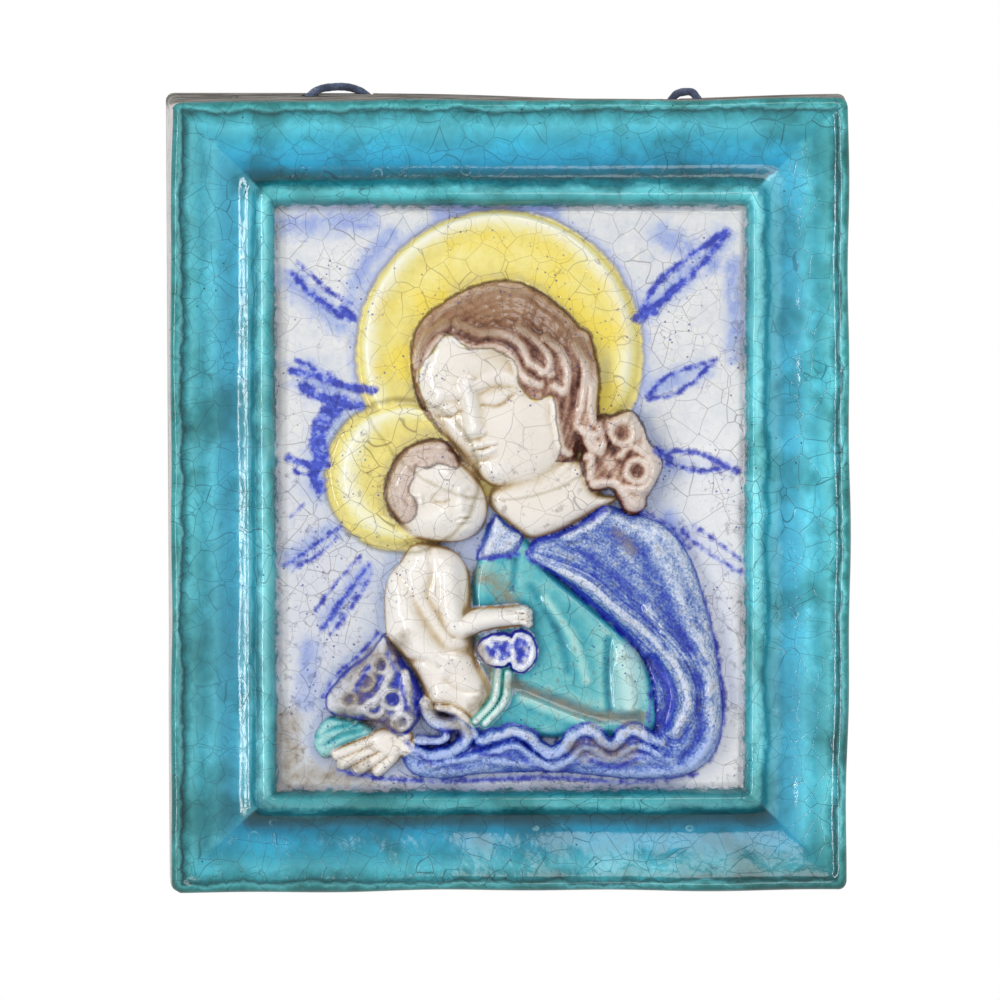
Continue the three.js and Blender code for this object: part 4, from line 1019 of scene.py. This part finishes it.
# The painted figures, one colour over the other, each from its hollows to its ridges.
picture = ground
halo_stops = [(0.05, "#D9CB84"), (0.3, "#EADC80"), (0.47, "#F1E590"), (0.68, "#F2ECB4"),
              (1.0, "#F1EFD8")]
for name, hollow_to_ridge, value, low_edge, high_edge in [
    ("halo", halo_stops, tone, -0.6, 1.6),
    ("small_halo", halo_stops, tone, -0.6, 1.4),
    ("dress", [(0.0, "#24788A"), (0.25, "#3A9FB0"), (0.48, "#5CB6BE"), (0.72, "#8ACFCF"),
               (1.0, "#BCE4E0")], tone, -0.3, 0.5),
    ("skin", [(0.0, "#98794F"), (0.2, "#BFA882"), (0.38, "#DCD0BC"), (0.52, "#E9E2D8"),
              (1.0, "#F1EDE7")], calm, -0.2, 0.5),
    ("mantle", [(0.0, "#16248C"), (0.24, "#2A3EAE"), (0.44, "#4762B6"), (0.6, "#6A82BE"),
                (0.8, "#9DB0D4"), (1.0, "#D0D8EA")], brushed, -0.5, 0.5),
    ("bunch", [(0.0, "#1A2896"), (0.28, "#2E3EB0"), (0.42, "#6E74A4"), (0.58, "#93949E"),
               (1.0, "#DCDCE4")], grainy, -0.6, 0.6),
    ("sleeve", [(0.0, "#136A70"), (0.4, "#329EA8"), (0.7, "#5CB6BC"), (1.0, "#9AD2D2")], tone,
     -0.3, 0.6),
    ("hair", [(0.0, "#4A2620"), (0.24, "#84594A"), (0.46, "#AD8974"), (0.66, "#CBAE9B"),
              (1.0, "#E2D3C8")], grainy, -0.3, 0.6),
    ("cap", [(0.0, "#4E2A24"), (0.3, "#7A5346"), (0.55, "#A07E6E"), (1.0, "#D6C4B8")],
     grainy, -0.2, 0.6),
    ("ribbon", [(0.0, "#4FA9A4"), (0.5, "#9BD4CE"), (1.0, "#D8ECE7")], tone, -0.3, 0.4),
    ("petal", [(0.0, "#1A2596"), (0.42, "#2C3CB8"), (0.58, "#5A6AC8"), (0.8, "#C3C9E8"),
               (1.0, "#EDEEF5")], grainy, -0.3, 0.4),
]:
    colour = add(tree, "ValToRGB", {"Fac": value}, stops=hollow_to_ridge)
    if name == "halo":  # stronger yellow in broad patches of its field
        blotch = add(tree, "MapRange", (broad, 0.44, 0.62, 0.0, 0.72))
        in_field = add(tree, "MapRange", (given["halo"], 3.0, 10.0))
        patch = add(tree, "Math", (blotch, in_field), operation="MULTIPLY")
        colour = add(tree, "MixRGB", (patch, colour, linear("#F0D848")))
    if name == "dress":  # the pale lobe of the dress beside the mantle
        lobe = add(tree, "MapRange", (given["lobe"], 0.1, 0.9, 0.0, 0.7))
        colour = add(tree, "MixRGB", (lobe, colour, linear("#C2E4E2")))
    if name == "hair":  # olive on the crown
        crown = add(tree, "MapRange", (given["crown"], 0.0, 14.0, 0.0, 0.9))
        colour = add(tree, "MixRGB", (crown, colour, linear("#B09370")), blend_type="MULTIPLY")
    if name == "mantle":  # bluer along its lowest band
        low_band = add(tree, "MapRange", (ragged["low band"], -0.266, -0.28, 0.0, 0.7))
        colour = add(tree, "MixRGB", (low_band, colour, linear("#B2CCFF")), blend_type="MULTIPLY")
    push = add(tree, "MapRange", (small, 0.3, 0.7, -0.5, 0.5))
    edge_at = add(tree, "Math", (given[name], push), operation="ADD")
    inside = add(tree, "MapRange", (edge_at, low_edge, high_edge), interpolation_type="SMOOTHSTEP")
    picture = add(tree, "MixRGB", (inside, picture, colour))

# The dark red line round the hair, and the olive shadow outside each halo's rim.
for name, colour, width, strength in [
    ("hair", "#5A302C", 0.8, 0.75), ("cap", "#5A302C", 0.7, 0.7), ("halo", "#A9A070", 1.2, 0.45),
    ("small_halo", "#948650", 1.8, 0.6),
]:
    push = add(tree, "MapRange", (small, 0.3, 0.7, -0.6, 0.6))
    edge_at = add(tree, "Math", (given[name], push), operation="ADD")
    from_edge = add(tree, "Math", (edge_at,), operation="ABSOLUTE")
    line = add(tree, "MapRange", (from_edge, width, 0.0, 0.0, strength))
    picture = add(tree, "MixRGB", (line, picture, linear(colour)), blend_type="MULTIPLY")

# Brown stains in the glaze, the dry strokes of cobalt, and its specks of about 1 mm.
soiled = add(tree, "MapRange", (ragged["stain"], 0.1, 1.0, 0.0, 0.72))
picture = add(tree, "MixRGB", (soiled, picture, linear("#8C7C62")))
dry = add(tree, "MapRange", (small, 0.36, 0.64, -0.85, 0.6))
ink = add(tree, "Math", (given["ink"], dry), operation="ADD")
ink = add(tree, "MapRange", (ink, -0.8, 0.9, 0.0, 0.92))
cobalt = add(tree, "ValToRGB", {"Fac": small}, stops=[
    (0.36, "#7F90DC"), (0.46, "#3A50CC"), (0.58, "#1C2CA8")])
picture = add(tree, "MixRGB", (ink, picture, cobalt))
specks = add(tree, "TexVoronoi", {"Vector": spot, "Scale": 340.0, "Randomness": 1.0})
dots = add(tree, "MapRange", (specks, 0.2, 0.13, 0.0, 0.75))
in_groups = add(tree, "MapRange", (broad, 0.5, 0.6))
speckle = add(tree, "Math", (dots, in_groups), operation="MULTIPLY")
picture = add(tree, "MixRGB", (speckle, picture, linear("#2E3890")))

# The frame's turquoise, by its place from its outer edge to the panel: paler where the glaze runs
# thin on the crests of the lip and the rib, darker where it pools in the cove, and with painted
# shade in the groove behind the lip, in the valley before the rib and at the rib's foot. The two
# lying runs, top and bottom, take a darker copy with heavy painted shade on the rib's steep outer
# wall.
broad_drift = add(tree, "MapRange", (broad, 0.3, 0.7, -0.035, 0.035))
small_drift = add(tree, "MapRange", (small, 0.3, 0.7, -0.012, 0.012))
drift = add(tree, "Math", (broad_drift, small_drift), operation="ADD")
frame_at = add(tree, "Math", (given["share"], drift), operation="ADD")
standing_run = add(tree, "ValToRGB", {"Fac": frame_at}, stops=[
    (0.0, "#1F7A7C"), (0.035, "#2F8A8C"), (0.07, "#5FB0B6"), (0.1, "#12525A"),
    (0.135, "#2A8690"), (0.19, "#57B2BC"), (0.3, "#3E9EB0"), (0.4, "#58B8CA"),
    (0.47, "#46A6C0"), (0.55, "#3D9CB8"), (0.61, "#3A9DBA"), (0.67, "#5CAEC2"),
    (0.735, "#56ACBC"), (0.77, "#2C8496"), (0.8, "#2C8496"), (0.845, "#6CC0CA"),
    (0.885, "#7CCCD2"), (0.93, "#50AEB8"), (0.97, "#2C8A96"), (0.995, "#1B6C76")])
# Painted shade: the top and bottom runs in a darker copy, darkest on the rib's steep outer wall.
lying_run_shaded = add(tree, "ValToRGB", {"Fac": frame_at}, stops=[
    (0.0, "#1B6E70"), (0.04, "#2B8486"), (0.07, "#4FA6AC"), (0.1, "#125A60"),
    (0.14, "#2C8892"), (0.24, "#4AACBC"), (0.36, "#2F98B0"), (0.48, "#2A9CBE"),
    (0.58, "#1C88AC"), (0.65, "#12647C"), (0.72, "#0F4A54"), (0.78, "#1C6E78"),
    (0.84, "#5AB2BA"), (0.9, "#46A4AC"), (0.96, "#237C86"), (0.995, "#155A62")])
turquoise = add(tree, "MixRGB", (given["lying"], standing_run, lying_run_shaded))
teal = add(tree, "TexNoise", {"Vector": spot, "Scale": 34.0, "Detail": 3.0, "Roughness": 0.6})
teal = add(tree, "MapRange", (teal, 0.48, 0.62, 0.0, 0.62))
turquoise = add(tree, "MixRGB", (teal, turquoise, linear("#6FA9A0")), blend_type="MULTIPLY")
# The rails' painted light, times slow random patches of paler and darker glaze.
rail_light_and_patches = given["thin"]
for lumps, darkest, palest in ((cloud, 0.78, 1.2), (small, 0.9, 1.1), (broad, 0.86, 1.14)):
    shift = add(tree, "MapRange", (lumps, 0.3, 0.7, darkest, palest))
    rail_light_and_patches = add(tree, "Math", (rail_light_and_patches, shift), operation="MULTIPLY")
rail_light_and_patch_colour = add(tree, "CombineXYZ", {"X": rail_light_and_patches, "Y": rail_light_and_patches, "Z": rail_light_and_patches})
turquoise = add(tree, "MixRGB", (1.0, turquoise, rail_light_and_patch_colour), blend_type="MULTIPLY")

# The sides: the same white glaze, thin and streaked with grey-brown dirt, most on top.
rub = add(tree, "Mapping", {"Vector": spot, "Scale": (12.0, 90.0, 40.0)})
rubbed = add(tree, "TexNoise", {"Vector": rub, "Scale": 3.0, "Detail": 5.0, "Roughness": 0.65})
clean = add(tree, "ValToRGB", {"Fac": rubbed}, stops=[
    (0.3, "#A39A94"), (0.42, "#CFC8C4"), (0.55, "#E2DEDC"), (1.0, "#ECEAE9")])
dirty = add(tree, "ValToRGB", {"Fac": rubbed}, stops=[
    (0.28, "#2E2C29"), (0.42, "#67635E"), (0.54, "#8F8B85"), (0.72, "#BDB9B4")])
sides = add(tree, "MixRGB", (given["topside"], clean, dirty))
at_back = add(tree, "MapRange", (given["share"], -0.9, -0.97, 0.0, 0.7))
sides = add(tree, "MixRGB", (at_back, sides, linear("#5A5552")))

at_frame = add(tree, "MapRange", (ragged["frame"], 1.0, 0.975))
colour = add(tree, "MixRGB", (at_frame, picture, turquoise))
at_side = add(tree, "MapRange", (given["share"], 0.0, -0.03))
colour = add(tree, "MixRGB", (at_side, colour, sides))

# Crackle: a wide net of fine cracks in cells of about 11 mm, and a closer one of about
# 6 mm within parts of it. Old dirt in the cracks is brown on white and dark on turquoise.
bend = add(tree, "TexNoise", {"Vector": spot, "Scale": 60.0, "Detail": 1.0}, output=1)
bent = add(tree, "VectorMath", (bend, (0.5, 0.5, 0.5)), operation="SUBTRACT")
bent = add(tree, "VectorMath", {0: bent, "Scale": 0.005}, operation="SCALE")
bent = add(tree, "VectorMath", (spot, bent), operation="ADD")
wide_net = add(tree, "TexVoronoi", {"Vector": bent, "Scale": 88.0}, feature="DISTANCE_TO_EDGE")
fine_net = add(tree, "TexVoronoi", {"Vector": bent, "Scale": 178.0}, feature="DISTANCE_TO_EDGE")
wide_crack = add(tree, "MapRange", (wide_net, 0.016, 0.005))
fine_crack = add(tree, "MapRange", (fine_net, 0.026, 0.009))
in_parts = add(tree, "MapRange", (broad, 0.44, 0.58, 0.1, 0.75))
fine_crack = add(tree, "Math", (fine_crack, in_parts), operation="MULTIPLY")
crack = add(tree, "Math", (wide_crack, fine_crack), operation="MAXIMUM")
old_dirt = add(tree, "MixRGB", (at_frame, linear("#857A80"), linear("#2C6874")))
soaked = add(tree, "MapRange", (cloud, 0.35, 0.65, 0.3, 0.7))
soaked = add(tree, "Math", (crack, soaked), operation="MULTIPLY")
colour = add(tree, "MixRGB", (soaked, colour, old_dirt), blend_type="MULTIPLY")

# Pinholes 7 mm apart, and rings left by bubbles that burst in the pooled glaze.
pits = add(tree, "TexVoronoi", {"Vector": spot, "Scale": 150.0})
pits = add(tree, "MapRange", (pits, 0.08, 0.04))
in_parts = add(tree, "MapRange", (cloud, 0.46, 0.54))
pit = add(tree, "Math", (pits, in_parts), operation="MULTIPLY")
pit_dirt = add(tree, "Math", (pit, 0.8), operation="MULTIPLY")
colour = add(tree, "MixRGB", (pit_dirt, colour, linear("#2A4A50")), blend_type="MULTIPLY")
bubbles = add(tree, "TexVoronoi", {"Vector": spot, "Scale": 75.0})
from_rim = add(tree, "Math", (bubbles, 0.17), operation="SUBTRACT")
from_rim = add(tree, "Math", (from_rim,), operation="ABSOLUTE")
burst = add(tree, "MapRange", (from_rim, 0.045, 0.0), interpolation_type="SMOOTHSTEP")
for place in (add(tree, "MapRange", (given["share"], 0.5, 0.58)),
              add(tree, "MapRange", (given["share"], 0.72, 0.66)),
              add(tree, "MapRange", (broad, 0.5, 0.56))):
    burst = add(tree, "Math", (burst, place), operation="MULTIPLY")
pale_rim = add(tree, "Math", (burst, 0.35), operation="MULTIPLY")
colour = add(tree, "MixRGB", (pale_rim, colour, linear("#A9DDE4")))

# The surface is glossy and a little wavy, sunk at cracks and pinholes. The top side has
# lost its gloss to wear and dirt.
skin_of_glaze = add(tree, "Math", (broad, 0.8), operation="MULTIPLY")
for mark, stands in ((small, 0.16), (crack, -0.05), (pit, -0.3), (burst, 0.35)):
    skin_of_glaze = add(tree, "Math", (mark, stands, skin_of_glaze), operation="MULTIPLY_ADD")
surface = add(tree, "Bump", {"Height": skin_of_glaze, "Strength": 0.7, "Distance": 0.0009})
dulled = add(tree, "Math", (given["topside"], at_side), operation="MULTIPLY")
rough = add(tree, "MapRange", (dulled, 0.0, 1.0, 0.09, 0.7))
gloss = add(tree, "MapRange", (dulled, 0.0, 1.0, 0.5, 0.08))
shade = add(tree, "BsdfPrincipled", {"Base Color": colour, "Roughness": rough, "IOR": 1.52,
                                     "Specular IOR Level": gloss, "Normal": surface})
tree.links.new(shade, end.inputs["Surface"])
done.materials.append(glaze)

# Bare fired clay on the rim and in the hollow: matt buff, with press marks about 25 mm
# across and specks of about 1.5 mm.
clay, tree, end = material("bare fired earthenware")
spot = add(tree, "TexCoord", output=3)
lumps = add(tree, "TexNoise", {"Vector": spot, "Scale": 40.0, "Detail": 5.0, "Roughness": 0.6})
grit = add(tree, "TexNoise", {"Vector": spot, "Scale": 700.0, "Detail": 2.0})
buff = add(tree, "ValToRGB", {"Fac": lumps}, stops=[
    (0.3, "#A98468"), (0.5, "#C09C80"), (0.7, "#CFB298")])
dark_grit = add(tree, "MapRange", (grit, 0.62, 0.72, 0.0, 0.5))
buff = add(tree, "MixRGB", (dark_grit, buff, linear("#8A6A54")))
press = add(tree, "Math", (grit, 0.15, lumps), operation="MULTIPLY_ADD")
surface = add(tree, "Bump", {"Height": press, "Strength": 0.7, "Distance": 0.0015})
shade = add(tree, "BsdfPrincipled", {"Base Color": buff, "Roughness": 0.88, "Normal": surface})
tree.links.new(shade, end.inputs["Surface"])
done.materials.append(clay)

centres = np.zeros(len(done.polygons) * 3)
done.polygons.foreach_get("center", centres)
centres = centres.reshape(-1, 3) * 1000
cu, cv, cr = centres[:, 0], centres[:, 2] + ORIGIN_UP, -centres[:, 1]
in_hollow = ((np.abs(cu) < BACK[0] / 2 - RIM + 0.5) & (np.abs(cv) < BACK[1] / 2 - RIM + 0.5)
             & (cr < DEEP + 0.2))
bare = (in_hollow | (cr < 0.6)).astype(np.int32)
done.polygons.foreach_set("material_index", bare)
done.update()

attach(plaque, "root")
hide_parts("plaque")
